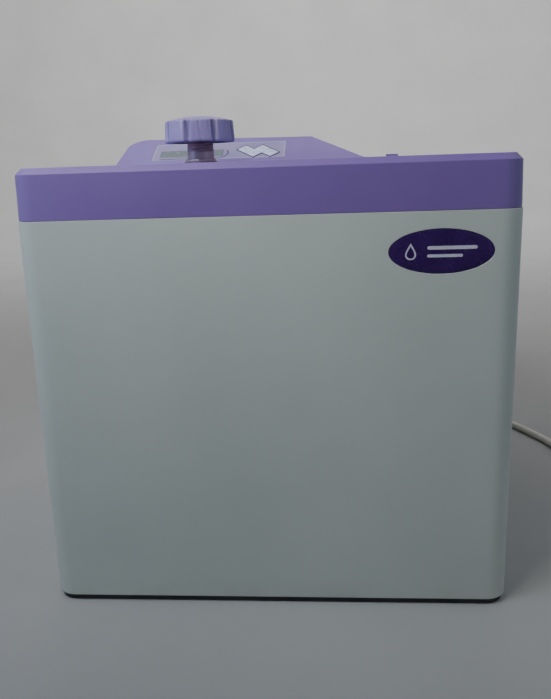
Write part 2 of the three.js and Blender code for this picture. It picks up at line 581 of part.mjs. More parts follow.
add('base_pan', basePan(), BLACK);
[FOOT.front, FOOT.back].flatMap((y) => [-FOOT.x, FOOT.x].map((x) => [x, y])).forEach(([x, y], i) => {
  const top = PAN.low - GAP;
  add(`foot_${i + 1}`, turnZ([[0, 0], [13, 0], [15, top], [0, top], [0, 0]], x, y, 20), RUBBER);
});
add('side_panel_left', sidePanel(-1), GREY);
add('side_panel_right', sidePanel(1), GREY);
add('front_frame', frontFrame(), GREY);
add('rear_panel', rearPanel(), GREY);
add('wall_spacer', wallSpacer(), BLACK);
add('top_cover', topCover(), PURPLE);
add('console_label', consoleLabel(), LILAC);
add('lcd_window', lcdBox(0, -2.6, 0.1), LCD_GREEN);
add('display_board', displayBoard(), BOARD);
for (const [name, height] of Object.entries(HINGE_HEIGHTS)) {
  add(`hinge_bracket_${name}`, hingeBracket(height), STEEL);
}
keyPlaces().forEach((place, i) => {
  add(`key_${i + 1}`, onPanel(keyPrism(place, KEY.play, -5, 0.9)), KEY_WHITE);
});

// ---- water tank and its lid ---------------------------------------------------------------

function waterTank() {
  const { x0, x1, legX, y0, y1, low, shelf, high, wall, neck } = TANK;
  const body = (play) => join(
    box(x0 + play, x1 - play, y0 + play, y1 - play, shelf + play, high - play),
    box(legX + play, x1 - play, y0 + play, y1 - play, low + play, shelf + play + 1));
  const mouth = (play, z0, z1) =>
    box(neck.x0 + play, neck.x1 - play, neck.y0 + play, neck.y1 - play, z0, z1);
  const outside = join(body(0), mouth(0, high - 1, neck.high));
  return cut(outside, body(wall), mouth(wall + 1, high - 9, neck.high + 6));
}

function tankLid() {
  const { x0, x1, y0, axisY, barrel, pinR, tabX, tabHalf, tabUp } = TANK_LID;
  const axisZ = COVER_TOP - barrel;
  return join(
    box(x0 + 0.5, x1 - 0.5, y0 + 0.5, axisY, axisZ, COVER_TOP),
    rodX(barrel, x0 + 0.5, x1 - 0.5, axisY, axisZ),
    rodX(pinR, x0 - 4.5, x1 + 4.5, axisY, axisZ, 16),
    box(tabX - tabHalf, tabX + tabHalf, y0 - 2, y0 + 8, axisZ, COVER_TOP + tabUp));
}

add('water_tank', waterTank(), TANK_WHITE);
add('tank_lid', tankLid(), PURPLE);

// ---- pressure chamber ---------------------------------------------------------------------

function chamberVessel() {
  const { bore, wall, back } = CHAMBER;
  const front = FLANGE.back + GAP;
  return turnY([
    [bore, front], [bore + wall, front], [bore + wall, back - 20], [100, back], [0, back + 8],
    [0, back + 8 - wall], [99, back - wall], [bore, back - 20 - wall / 2], [bore, front],
  ], 0, CHAMBER.z, 40);
}

// The welded front ring carries the four headed studs that the lock plate drops behind.
function chamberFlange() {
  const studs = studPlaces().flatMap(([x, z]) => [
    rodY(STUD.neck, STUD.tip, BODY_FRONT - GAP, x, z),
    rodY(STUD.head, STUD.tip, STUD.tip + 7.4, x, z),
    rodY(12, FLANGE.front, BODY_FRONT - GAP, x, z),
  ]);
  const arms = studPlaces().map(([x, z]) =>
    box(Math.min(x, x * 0.7), Math.max(x, x * 0.7), FLANGE.front + 1, BODY_FRONT - GAP,
      Math.min(z, CHAMBER.z + (z - CHAMBER.z) * 0.7), Math.max(z, CHAMBER.z + (z - CHAMBER.z) * 0.7)));
  const ring = ringY(CHAMBER.bore, FLANGE.r, FLANGE.front, FLANGE.back, 0, CHAMBER.z);
  const bore = rodY(CHAMBER.bore, -260, -100, 0, CHAMBER.z, 40);
  return cut(join(ring, ...arms, ...studs), bore);
}

const insulationJacket = () => ringY(CHAMBER.bore + CHAMBER.wall + 3.4, JACKET_R, -172, 150, 0, CHAMBER.z);
const bandHeater = () => ringY(CHAMBER.bore + CHAMBER.wall + GAP, CHAMBER.bore + CHAMBER.wall + 3,
  20, 110, 0, CHAMBER.z);

function chamberCradle() {
  const { halfW, front, back, sheet, high, railX } = CRADLE;
  const low = PAN.floor + GAP;
  const saddle = (y) => cut(box(-halfW, halfW, y, y + sheet, low, high),
    rodY(JACKET_R + GAP, y - 5, y + 8, 0, CHAMBER.z, 40), box(-60, 60, y - 5, y + 8, 20, 60));
  const rail = (x) => box(x - 8, x + 8, front, back + sheet, low, low + 3.7);
  return join(saddle(front), saddle(back), rail(-railX), rail(railX));
}

function trayRack() {
  const { x: half, front, back, low, high, sheet, foot } = RACK;
  const wall = (x) => box(x - sheet / 2, x + sheet / 2, front, back, low, high);
  const ledges = RACK.ledges.flatMap((z) => [
    box(-half, 9 - half, front, back, z, z + sheet), box(half - 9, half, front, back, z, z + sheet)]);
  const ties = [front, back - 4].flatMap((y) => [
    box(-half, half, y, y + 4, low, low + 4), box(-half, half, y, y + 4, high - 4, high)]);
  const feet = [-half, half].flatMap((x) => [front + 10, back - 20].map((y) =>
    box(x - 1.5, x + 1.5, y, y + 12, foot, low + 1)));
  return join(wall(-half), wall(half), ...ledges, ...ties, ...feet);
}

function tray(ledge) {
  const { halfW, front, back, high, wall } = TRAY;
  const low = ledge + RACK.sheet + GAP;
  return cut(box(-halfW, halfW, front, back, low, low + high),
    box(wall - halfW, halfW - wall, front + wall, back - wall, low + wall, low + high + 6));
}

add('chamber_vessel', chamberVessel(), STEEL);
add('chamber_flange', chamberFlange(), STEEL);
add('band_heater', bandHeater(), DARK_STEEL);
add('insulation_jacket', insulationJacket(), FELT);
add('chamber_cradle', chamberCradle(), ZINC);
add('tray_rack', trayRack(), STEEL);
add('tray_lower', tray(RACK.ledges[0]), STEEL);
add('tray_upper', tray(RACK.ledges[1]), STEEL);

// ---- services under and beside the chamber ------------------------------------------------

const BASE = PAN.floor + GAP;

// A mounting foot, the winding and the wider iron core round it.
function transformer() {
  const { x, y } = TRANSFORMER;
  return join(box(x - 34, x + 34, y - 30, y + 30, BASE, 20), box(x - 27, x + 27, y - 25, y + 25, 18, 74),
    box(x - 37, x + 37, y - 14, y + 14, 22, 70));
}

function mainBoard() {
  const { x, thick, y0, y1, low, high, relays } = MAIN_BOARD;
  return join(box(x, x + thick, y0, y1, low, high),
    ...relays.map(([y, z]) => box(x + 1, x + 18, y, y + 24, z, z + 20)));
}

function waterPump() {
  const { x, z, motorR, headR, spoutR, tip, head, motor, back } = PUMP;
  return join(
    box(x - 30, x + 30, head - 3, back + 15, BASE, 12), box(x - 12, x + 12, motor - 10, back, 11, 30),
    rodY(motorR, motor, back, x, z), rodY(headR, head, motor + 5, x, z),
    rodY(spoutR, tip, head + 2, x, z, 16));
}

function valveManifold() {
  const { x0, x1, y0, y1, high, coilHigh, coilR, coils } = MANIFOLD;
  const stems = coils.map((y) => rodZ(coilR, high - 2, coilHigh, (x0 + x1) / 2, y));
  return join(box(x0, x1, y0, y1, BASE, high), ...stems, rodX(5, x0 - 20, x0 + 5, (y0 + y1) / 2, 28, 16));
}

// A helix of copper tube round the fan's axis.
function condenserCoil() {
  const { turns, stepsPerTurn, r, tubeR, start, length } = CONDENSER;
  const steps = turns * stepsPerTurn;
  const points = Array.from({ length: steps + 1 }, (_, i) => {
    const angle = (i / stepsPerTurn) * 2 * Math.PI;
    return new THREE.Vector3(FAN.x + r * Math.cos(angle), start + (i / steps) * length,
      FAN.z + r * Math.sin(angle));
  });
  return tubeAlong(points, tubeR, 6, steps);
}

function tubeAlong(points, r, sides, steps) {
  const section = new THREE.Shape(Array.from({ length: sides }, (_, i) =>
    new THREE.Vector2(r * Math.cos((i / sides) * 2 * Math.PI), r * Math.sin((i / sides) * 2 * Math.PI))));
  const path = new THREE.CatmullRomCurve3(points, false, 'centripetal');
  return new THREE.ExtrudeGeometry(section, { steps, extrudePath: path, bevelEnabled: false });
}

function fanFrame() {
  const { x, z, r, front, deep } = FAN;
  const half = FAN.frame / 2;
  const spokes = [[half, 3], [3, half]].map(([halfX, halfZ]) =>
    box(x - halfX, x + halfX, front, front + 3, z - halfZ, z + halfZ));
  const shell = cut(box(x - half, x + half, front, front + deep, z - half, z + half),
    rodY(r + 1.6, front - 8, front + deep + 7, x, z, 40));
  return join(shell, ...spokes, rodY(14, front, front + 4, x, z));
}

function fanRotor() {
  const { x, z, r, front, deep, hub, blades, pitch } = FAN;
  const fins = Array.from({ length: blades }, (_, i) =>
    box(hub - 5, r, -8, 8, -0.8, 0.8).rotateX(THREE.MathUtils.degToRad(pitch))
      .rotateY((i / blades) * 2 * Math.PI).translate(x, front + 15, z));
  return join(rodY(hub, front + 5.5, front + deep - 1, x, z), ...fins);
}

add('transformer', transformer(), DARK_STEEL);
add('main_board', mainBoard(), BOARD);
add('water_pump', waterPump(), BLACK);
add('valve_manifold', valveManifold(), BRASS);
add('condenser_coil', condenserCoil(), COPPER);
add('fan_frame', fanFrame(), BLACK);
add('fan_rotor', fanRotor(), BLACK);

// ---- rear fittings ------------------------------------------------------------------------

function mainsSwitch() {
  const { x, z, halfX, halfZ, back, bezel } = SWITCH;
  const body = join(box(x - halfX, x + halfX, back, REAR_FACE + 1, z - halfZ, z + halfZ),
    box(x - halfX - 3, x + halfX + 3, REAR_FACE + GAP, REAR_FACE + bezel, z - halfZ - 3, z + halfZ + 3));
  return cut(body, box(x - ROCKER.half - 0.5, x + ROCKER.half + 0.5, back + 11, back + 32,
    z + 2 - halfZ, z - 2 + halfZ));
}

function mainsRocker() {
  const { outline, half, y, tilt } = ROCKER;
  return prismX(outline, -half, half).rotateX(-THREE.MathUtils.degToRad(tilt))
    .translate(SWITCH.x, y, SWITCH.z);
}

function fuseHolder() {
  const { x, z, r, front, capR, tip } = FUSE;
  return turnY([
    [0, front], [r, front], [r, REAR_FACE + GAP], [capR + 1, REAR_FACE + GAP], [capR + 1, tip - 8],
    [capR, tip - 8], [capR, tip - 1], [capR - 1, tip], [0, tip], [0, front],
  ], x, z, 16);
}

function cordGland() {
  const { x, z, r, front, nutR, tip } = GLAND;
  const bore = CORD_R + 0.4;
  return turnY([
    [bore, front], [r, front], [r, REAR_FACE + GAP], [nutR, REAR_FACE + GAP], [nutR, tip - 10],
    [nutR - 2, tip - 9], [nutR - 3, tip - 4], [nutR - 5.4, tip], [bore, tip], [bore, front],
  ], x, z, 16);
}

function drainCock() {
  const { x, y, z, neck, front } = DRAIN;
  return join(rodY(neck, front, y, x, z), rodY(neck + 3, REAR_FACE + GAP, REAR_FACE + 3, x, z, 6),
    rodZ(8, z - 9, z + 10, x, y), rodZ(4.5, z - 22, z, x, y, 16));
}

function drainLever() {
  const { x, y, z } = DRAIN;
  return join(rodZ(7, z + 10 + GAP, z + 15, x, y), box(x, x + 17, y - 4, y + 4, z + 11.5, z + 15));
}

function safetyValve() {
  const { x, z, pivotY, pivotZ, neck, front, bodyR, pinR } = VALVE;
  const ears = [x - 10, x + 7.4].map((left) =>
    box(left, left + 2.6, pivotY - 5, pivotY + 5, z, pivotZ + 4));
  return cut(
    join(rodY(neck, front, REAR_FACE + 3, x, z), rodY(bodyR, REAR_FACE + GAP, pivotY + 10, x, z), ...ears),
    rodX(pinR + 0.4, x - bodyR, x + bodyR, pivotY, pivotZ, 16));
}

function safetyValveLever() {
  const { x, pivotY, pivotZ, pinR } = VALVE;
  return join(rodX(3, x - 7, x + 7, pivotY, pivotZ, 16), rodX(pinR, x - 9.8, x + 9.8, pivotY, pivotZ, 16),
    box(x - 6, x + 6, pivotY, BACK - 1, pivotZ - 1.5, pivotZ + 1.5));
}

add('mains_switch', mainsSwitch(), BLACK);
add('mains_rocker', mainsRocker(), RED);
add('fuse_holder', fuseHolder(), BLACK);
add('cord_gland', cordGland(), BLACK);
add('drain_cock', drainCock(), BRASS);
add('drain_lever', drainLever(), RED);
add('safety_valve', safetyValve(), BRASS);
add('safety_valve_lever', safetyValveLever(), STEEL);

// ---- mains lead ---------------------------------------------------------------------------

const mainsCord = () =>
  tubeAlong(CORD_ROUTE.map((p) => new THREE.Vector3(...p)), CORD_R, 8, 24);

// The wound length, with a straight stub where the lead runs in and where it runs out.
function cordCoil() {
  const { x, y, inner, outer, turnIn, turnOut, high, stubIn, stubOut } = COIL;
  const ring = turnZ([[inner, 0.2], [outer, 0.2], [outer, high], [inner, high], [inner, 0.2]], x, y);
  return join(ring, rodY(CORD_R, y, y + stubIn, x - turnIn, CORD_LOW, 12),
    rodY(CORD_R, y, y + stubOut, x + turnOut, CORD_HIGH, 12));
}

function mainsPlug() {
  const start = COIL.y + COIL.stubOut + GAP;
  const bodyStart = start + PLUG.relief;
  const face = bodyStart + PLUG.body;
  const x = COIL.x + COIL.turnOut;
  const body = turnY([
    [0, start], [CORD_R + 1, start], [8.5, bodyStart], [PLUG.bodyR - 4, bodyStart + 3],
    [PLUG.bodyR, bodyStart + 9], [PLUG.bodyR, face], [0, face], [0, start],
  ], x, PLUG.z, 24);
  const pins = [-9.5, 9.5].map((dx) => rodY(PLUG.pinR, face - 2, face + PLUG.pin, x + dx, PLUG.z, 16));
  return join(body, ...pins);
}

add('mains_cord', mainsCord(), CORD_WHITE);
add('cord_coil', cordCoil(), CORD_WHITE);
add('mains_plug', mainsPlug(), CORD_WHITE);

export default assembly;
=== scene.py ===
# Looks of the benchtop steam steriliser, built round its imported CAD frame.
# Blender works in metres; every size written here is in millimetres and is scaled when a mesh is made.
# +X is the right-hand side seen from the front, +Y points to the back, +Z up.
import json
import math
import random

import bmesh
import bpy
from mathutils import Matrix, Vector


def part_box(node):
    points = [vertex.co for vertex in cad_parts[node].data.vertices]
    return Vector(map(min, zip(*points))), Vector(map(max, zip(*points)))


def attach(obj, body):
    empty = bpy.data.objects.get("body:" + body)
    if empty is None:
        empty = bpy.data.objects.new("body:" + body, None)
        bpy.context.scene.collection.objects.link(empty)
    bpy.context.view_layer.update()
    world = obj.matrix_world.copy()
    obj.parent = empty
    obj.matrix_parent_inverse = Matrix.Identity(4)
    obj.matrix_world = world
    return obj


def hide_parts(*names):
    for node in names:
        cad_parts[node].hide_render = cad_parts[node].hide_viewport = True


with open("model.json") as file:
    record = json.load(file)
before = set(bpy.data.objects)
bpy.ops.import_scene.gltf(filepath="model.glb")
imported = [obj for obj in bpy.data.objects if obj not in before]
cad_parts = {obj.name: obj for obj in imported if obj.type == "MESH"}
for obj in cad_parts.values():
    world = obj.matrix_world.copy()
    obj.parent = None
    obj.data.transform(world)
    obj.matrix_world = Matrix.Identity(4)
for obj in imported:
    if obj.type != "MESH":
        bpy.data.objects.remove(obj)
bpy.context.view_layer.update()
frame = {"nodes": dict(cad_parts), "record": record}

MM = 0.001
TAU = 2 * math.pi


# ---- camera ---------------------------------------------

CAMERA_PLACE = (0.05584, -0.90373, 0.41436)          # metres
CAMERA_LEFT, CAMERA_DOWN, CAMERA_ROLL = 4.45, 14.186, -1.893   # degrees
LENS, SENSOR = 37.21, 36              # mm


def make_camera():
    """The photograph's viewing angle: in front and above, turned left, pitched down, slightly rolled."""
    data = bpy.data.cameras.new("camera")
    data.lens = LENS
    data.sensor_width = SENSOR
    camera = bpy.data.objects.new("camera", data)
    bpy.context.scene.collection.objects.link(camera)
    place = Matrix.Translation(CAMERA_PLACE)
    turn = Matrix.Rotation(math.radians(CAMERA_LEFT), 4, "Z")
    pitch = Matrix.Rotation(math.radians(90 - CAMERA_DOWN), 4, "X")
    roll = Matrix.Rotation(math.radians(CAMERA_ROLL), 4, "Z")
    camera.matrix_world = place @ turn @ pitch @ roll
    bpy.context.scene.camera = camera


make_camera()


# ---- geometry: every shape is (vertices in mm, faces) ----

def span(node):
    """Lowest and highest corner of a CAD node, in mm."""
    low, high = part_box(node)
    return low / MM, high / MM


def middle(node):
    low, high = span(node)
    return (low + high) / 2


def merged(*shapes):
    vertices, faces = [], []
    for shape_vertices, shape_faces in shapes:
        start = len(vertices)
        vertices += [Vector(v) for v in shape_vertices]
        faces += [[start + i for i in face] for face in shape_faces]
    return vertices, faces


def moved(shape, matrix):
    vertices, faces = shape
    return [matrix @ Vector(v) for v in vertices], faces


def shifted(shape, x=0.0, y=0.0, z=0.0):
    return moved(shape, Matrix.Translation((x, y, z)))


def along_y(shape, x=0.0, y=0.0, z=0.0):
    """Stands a shape made about Z on the axis through x, z that runs to the back."""
    return moved(shape, Matrix.Translation((x, y, z)) @ Matrix.Rotation(-math.pi / 2, 4, "X"))


def lathe(profile, steps=96, warp=None):
    """A turned solid about Z from (radius, height) pairs that end on the axis or close on themselves.
    warp(angle, radius, height) may give each point a new radius and height."""
    closed = profile[0] == profile[-1]
    rows = profile[:-1] if closed else profile
    vertices, starts = [], []
    for radius, height in rows:
        starts.append(len(vertices))
        for k in range(steps if radius > 1e-6 else 1):
            angle = TAU * k / steps
            r, h = warp(angle, radius, height) if warp else (radius, height)
            vertices.append(Vector((r * math.cos(angle), r * math.sin(angle), h)))
    faces = []
    for i in range(len(rows) if closed else len(rows) - 1):
        j = (i + 1) % len(rows)
        wide, next_wide = rows[i][0] > 1e-6, rows[j][0] > 1e-6
        for k in range(steps):
            n = (k + 1) % steps
            if wide and next_wide:
                faces.append([starts[i] + k, starts[i] + n, starts[j] + n, starts[j] + k])
            elif wide:
                faces.append([starts[i] + k, starts[i] + n, starts[j]])
            elif next_wide:
                faces.append([starts[i], starts[j] + n, starts[j] + k])
    return vertices, faces


def ring(inner, outer, low, high, soft=0.5, steps=96):
    """A turned ring with its four edges eased."""
    return lathe([
        (inner, low + soft), (inner + soft, low), (outer - soft, low), (outer, low + soft),
        (outer, high - soft), (outer - soft, high), (inner + soft, high), (inner, high - soft),
        (inner, low + soft)], steps)


def prism(outline, low, high):
    """An upright prism over an outline of (x, y) pairs."""
    count = len(outline)
    vertices = [Vector((x, y, h)) for h in (low, high) for x, y in outline]
    sides = [[i, (i + 1) % count, count + (i + 1) % count, count + i] for i in range(count)]
    return vertices, [list(range(count))[::-1], list(range(count, 2 * count))] + sides


def circle(radius, steps=48, x=0.0, y=0.0):
    return [(x + radius * math.cos(TAU * k / steps), y + radius * math.sin(TAU * k / steps))
            for k in range(steps)]


def rounded(x0, x1, y0, y1, radius, steps=6):
    """A rectangle's outline with round corners."""
    points = []
    corners = ((x1, y1, 0), (x0, y1, 1), (x0, y0, 2), (x1, y0, 3))
    for x, y, quarter in corners:
        cx = x - radius if x == x1 else x + radius
        cy = y - radius if y == y1 else y + radius
        for k in range(steps + 1):
            angle = (quarter + k / steps) * math.pi / 2
            points.append((cx + radius * math.cos(angle), cy + radius * math.sin(angle)))
    return points


def frame_of(outer, inner, low, high):
    """A flat frame between two outlines with equal point counts."""
    count = len(outer)
    vertices = [Vector((x, y, h)) for h in (low, high) for loop in (outer, inner) for x, y in loop]
    order = [0, count, 3 * count, 2 * count]
    faces = []
    for i in range(count):
        n = (i + 1) % count
        faces += [[order[k] + i, order[k] + n, order[(k + 1) % 4] + n, order[(k + 1) % 4] + i]
                  for k in range(4)]
    return vertices, faces


def ribbon(points, widths, low, high):
    """A flat printed or woven strip along (x, y) points, as wide at each point as widths says."""
    left, right = [], []
    for i, (x, y) in enumerate(points):
        ahead = Vector(points[min(i + 1, len(points) - 1)]) - Vector(points[max(i - 1, 0)])
        normal = Vector((-ahead.y, ahead.x)).normalized() * widths[i] / 2
        left.append((x + normal.x, y + normal.y))
        right.append((x - normal.x, y - normal.y))
    return prism(right + left[::-1], low, high)


def smooth_line(points, per_span=8):
    """Points along a centripetal Catmull-Rom curve through the given ones."""
    knots = [Vector(p) for p in points]
    knots = [2 * knots[0] - knots[1], *knots, 2 * knots[-1] - knots[-2]]
    line = []
    for a, b, c, d in zip(knots, knots[1:], knots[2:], knots[3:]):
        t0, t1 = 0.0, math.sqrt((b - a).length)
        t2 = t1 + math.sqrt((c - b).length)
        t3 = t2 + math.sqrt((d - c).length)
        for k in range(per_span):
            t = t1 + (t2 - t1) * k / per_span
            ab = a.lerp(b, (t - t0) / (t1 - t0))
            bc = b.lerp(c, (t - t1) / (t2 - t1))
            cd = c.lerp(d, (t - t2) / (t3 - t2))
            line.append(ab.lerp(bc, (t - t0) / (t2 - t0)).lerp(bc.lerp(cd, (t - t1) / (t3 - t1)),
                                                              (t - t1) / (t2 - t1)))
    return line + [knots[-2]]


def sweep(points, radii, sides=24):
    """A closed round sleeve along points, with its own radius at each of them."""
    vertices, faces = [], []
    side = Vector((1, 0, 0))
    for i, point in enumerate(points):
        ahead = (points[min(i + 1, len(points) - 1)] - points[max(i - 1, 0)]).normalized()
        side = (side - ahead * side.dot(ahead)).normalized()
        up = ahead.cross(side)
        for k in range(sides):
            angle = TAU * k / sides
            vertices.append(point + (side * math.cos(angle) + up * math.sin(angle)) * radii[i])
    for i in range(len(points) - 1):
        for k in range(sides):
            n = (k + 1) % sides
            faces.append([i * sides + k, i * sides + n, (i + 1) * sides + n, (i + 1) * sides + k])
    last = (len(points) - 1) * sides
    return vertices, faces + [list(range(sides))[::-1], list(range(last, last + sides))]


def cad_shape(node):
    """The CAD node's own shape, welded and with its flat faces made whole again."""
    mesh = bmesh.new()
    mesh.from_mesh(frame["nodes"][node].data)
    bmesh.ops.remove_doubles(mesh, verts=mesh.verts, dist=1e-6)
    bmesh.ops.dissolve_limit(mesh, angle_limit=math.radians(0.5), verts=mesh.verts, edges=mesh.edges)
    shape = [v.co / MM for v in mesh.verts], [[v.index for v in f.verts] for f in mesh.faces]
    mesh.free()
    return shape


# ---- pieces ---------------------------------------------

BODY_OF = {node: body for body, nodes in frame["record"]["behaviour"]["bodies"].items() for node in nodes}
SLOT_OF = {row["node"]: row["material_slot"] for row in frame["record"]["subparts"]}
MATERIALS = {}


def piece(name, shape, slot, body, nodes=(), bevel=0.0, segments=2, crease=32, look=None):
    """Makes one visible piece: its mesh in metres, eased edges, finish, and the body that it rides on."""
    vertices, faces = shape
    data = bpy.data.meshes.new(name)
    data.from_pydata([tuple(Vector(v) * MM) for v in vertices], [], faces)
    mesh = bmesh.new()
    mesh.from_mesh(data)
    bmesh.ops.remove_doubles(mesh, verts=mesh.verts, dist=1e-6)
    bmesh.ops.recalc_face_normals(mesh, faces=mesh.faces)
    mesh.to_mesh(data)
    mesh.free()
    data.polygons.foreach_set("use_smooth", [True] * len(data.polygons))
    data.set_sharp_from_angle(angle=math.radians(crease))
    made = bpy.data.objects.new(name, data)
    bpy.context.scene.collection.objects.link(made)
    if bevel:
        edges = made.modifiers.new("eased edges", "BEVEL")
        edges.width = bevel * MM
        edges.segments = segments
        edges.limit_method = "ANGLE"
        edges.angle_limit = math.radians(crease)
        edges.harden_normals = True
        edges.use_clamp_overlap = True
    data.materials.append(look or MATERIALS[slot])
    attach(made, body)
    if nodes:
        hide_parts(*nodes)
    return made


def standing_for(node, name, shape, bevel=0.0, segments=2, crease=32, look=None, also=()):
    """A piece that takes a CAD node's place, with its body and its material slot."""
    return piece(name, shape, SLOT_OF[node], BODY_OF[node], (node, *also), bevel, segments, crease, look)


def eased(node, bevel, segments=2, crease=32, look=None):
    """The CAD node's shape with its edges eased as the real part's are."""
    return standing_for(node, f"{node}_finished", cad_shape(node), bevel, segments, crease, look)


# ---- materials ------------------------------------------

def add(tree, kind, inputs=None, **settings):
    """One shader node, with its settings and its inputs: numbers are set and sockets are linked."""
    node = tree.nodes.new("ShaderNode" + kind)
    for name, value in settings.items():
        setattr(node, name, value)
    for name, value in (inputs or {}).items():
        if isinstance(value, bpy.types.NodeSocket):
            tree.links.new(value, node.inputs[name])
        else:
            node.inputs[name].default_value = value
    return node


def rgba(color):
    return (*color, 1.0)


def start(name, **uniform):
    """A material with its Principled shader; uniform values go straight onto the shader's sockets."""
    material = bpy.data.materials.new(name)
    material.use_nodes = True
    shader = material.node_tree.nodes["Principled BSDF"]
    for socket, value in uniform.items():
        shader.inputs[socket.replace("_", " ").title().replace("Ior", "IOR")].default_value = value
    return material, material.node_tree, shader


def object_position(tree, stretch=(1, 1, 1)):
    place = add(tree, "TexCoord").outputs["Object"]
    return add(tree, "Mapping", {"Vector": place, "Scale": stretch}).outputs["Vector"]


def noise(tree, scale, detail=3.0, low=0.35, high=0.65, stretch=(1, 1, 1)):
    """Noise spread out to fill 0 to 1."""
    place = object_position(tree, stretch)
    field = add(tree, "TexNoise", {"Vector": place, "Scale": scale, "Detail": detail}).outputs["Fac"]
    return add(tree, "MapRange", {"Value": field, "From Min": low, "From Max": high}).outputs[0]


def blend_colors(tree, factor, first, second):
    mix = tree.nodes.new("ShaderNodeMix")
    mix.data_type = "RGBA"
    for socket, value in ((mix.inputs[0], factor), (mix.inputs[6], first), (mix.inputs[7], second)):
        if isinstance(value, bpy.types.NodeSocket):
            tree.links.new(value, socket)
        else:
            socket.default_value = value
    return mix.outputs[2]


def times(tree, first, second):
    return add(tree, "Math", {0: first, 1: second}, operation="MULTIPLY").outputs[0]


def edge_mask(tree, radius):
    """1 along edges, where they are worn or where the shade of gaps is painted, and 0 on flat faces."""
    soft = add(tree, "Bevel", {"Radius": radius * MM}, samples=4).outputs[0]
    true = add(tree, "NewGeometry").outputs["Normal"]
    alike = add(tree, "VectorMath", {0: soft, 1: true}, operation="DOT_PRODUCT").outputs["Value"]
    return add(tree, "MapRange", {"Value": alike, "From Min": 0.985, "From Max": 0.86}).outputs[0]


def upward(tree):
    """1 on faces that look up, where fine grit gathers and where painted top light goes."""
    normal = add(tree, "SeparateXYZ", {0: add(tree, "NewGeometry").outputs["Normal"]}).outputs["Z"]
    return add(tree, "MapRange", {"Value": normal, "From Min": 0.55, "From Max": 0.98}).outputs[0]


def height(tree, low, high):
    """1 at the height low, 0 from the height high up, in mm."""
    z = add(tree, "SeparateXYZ", {0: object_position(tree)}).outputs["Z"]
    return add(tree, "MapRange", {"Value": z, "From Min": high * MM, "From Max": low * MM}).outputs[0]


def surface(tree, shader, color, gloss, rough, relief, strength, depth):
    """Gives the shader its colour, its roughness between two values and its relief, depth in mm."""
    spread = add(tree, "MapRange", {"Value": gloss, "To Min": rough[0], "To Max": rough[1]}).outputs[0]
    bumped = add(tree, "Bump", {"Height": relief, "Strength": strength, "Distance": depth * MM}).outputs[0]
    for value, socket in ((color, "Base Color"), (spread, "Roughness"), (bumped, "Normal")):
        tree.links.new(value, shader.inputs[socket])


def textured(name, dark, light, rough=(0.4, 0.5), patch=7.0, grain=900.0, bump=0.1, depth=0.05,
             stretch=(1, 1, 1), wear_and_gap_shade=None, dust_and_top_light=None, grime=None, **uniform):
    """A finish whose colour drifts between dark and light in patches, with a fine grain and uneven gloss.
    wear is (colour, edge radius mm, share), for scuffed edges or for painted shade of the gaps along key
    edges; dust is (colour, share), for fine grit on faces that look up or for painted light on them; grime is
    (colour, low mm, high mm, share)."""
    material, tree, shader = start(name, **uniform)
    color = blend_colors(tree, noise(tree, patch, 5), rgba(dark), rgba(light))
    if grime:
        smear = times(tree, height(tree, grime[1], grime[2]), noise(tree, 35, 6, 0.4, 0.7))
        color = blend_colors(tree, times(tree, smear, grime[3]), color, rgba(grime[0]))
    # a paler colour on faces that look up: fine grit on the casing, painted top light on the cover
    if dust_and_top_light:
        settled_or_lit = times(tree, upward(tree), noise(tree, 12, 6, 0.1, 0.7))
        color = blend_colors(tree, times(tree, settled_or_lit, dust_and_top_light[1]), color, rgba(dust_and_top_light[0]))
    # a colour along edges: scuffing on most finishes, painted shade of the gaps between the key caps
    if wear_and_gap_shade:
        rubbed_or_gap_shaded = times(tree, edge_mask(tree, wear_and_gap_shade[1]), noise(tree, 130, 5, 0.38, 0.62))
        color = blend_colors(tree, times(tree, rubbed_or_gap_shaded, wear_and_gap_shade[2]), color, rgba(wear_and_gap_shade[0]))
    relief = noise(tree, grain, 4, 0.3, 0.7, stretch)
    surface(tree, shader, color, noise(tree, 60, 4, stretch=stretch), rough, relief, bump, depth)
    return material


def brushed(name, dark, light, rough, stretch, bump=0.25, **uniform):
    """Metal with fine drawn lines; stretch is small along the lines."""
    return textured(name, dark, light, rough, patch=9, grain=700, bump=bump, depth=0.02, stretch=stretch,
                    metallic=1.0, **uniform)


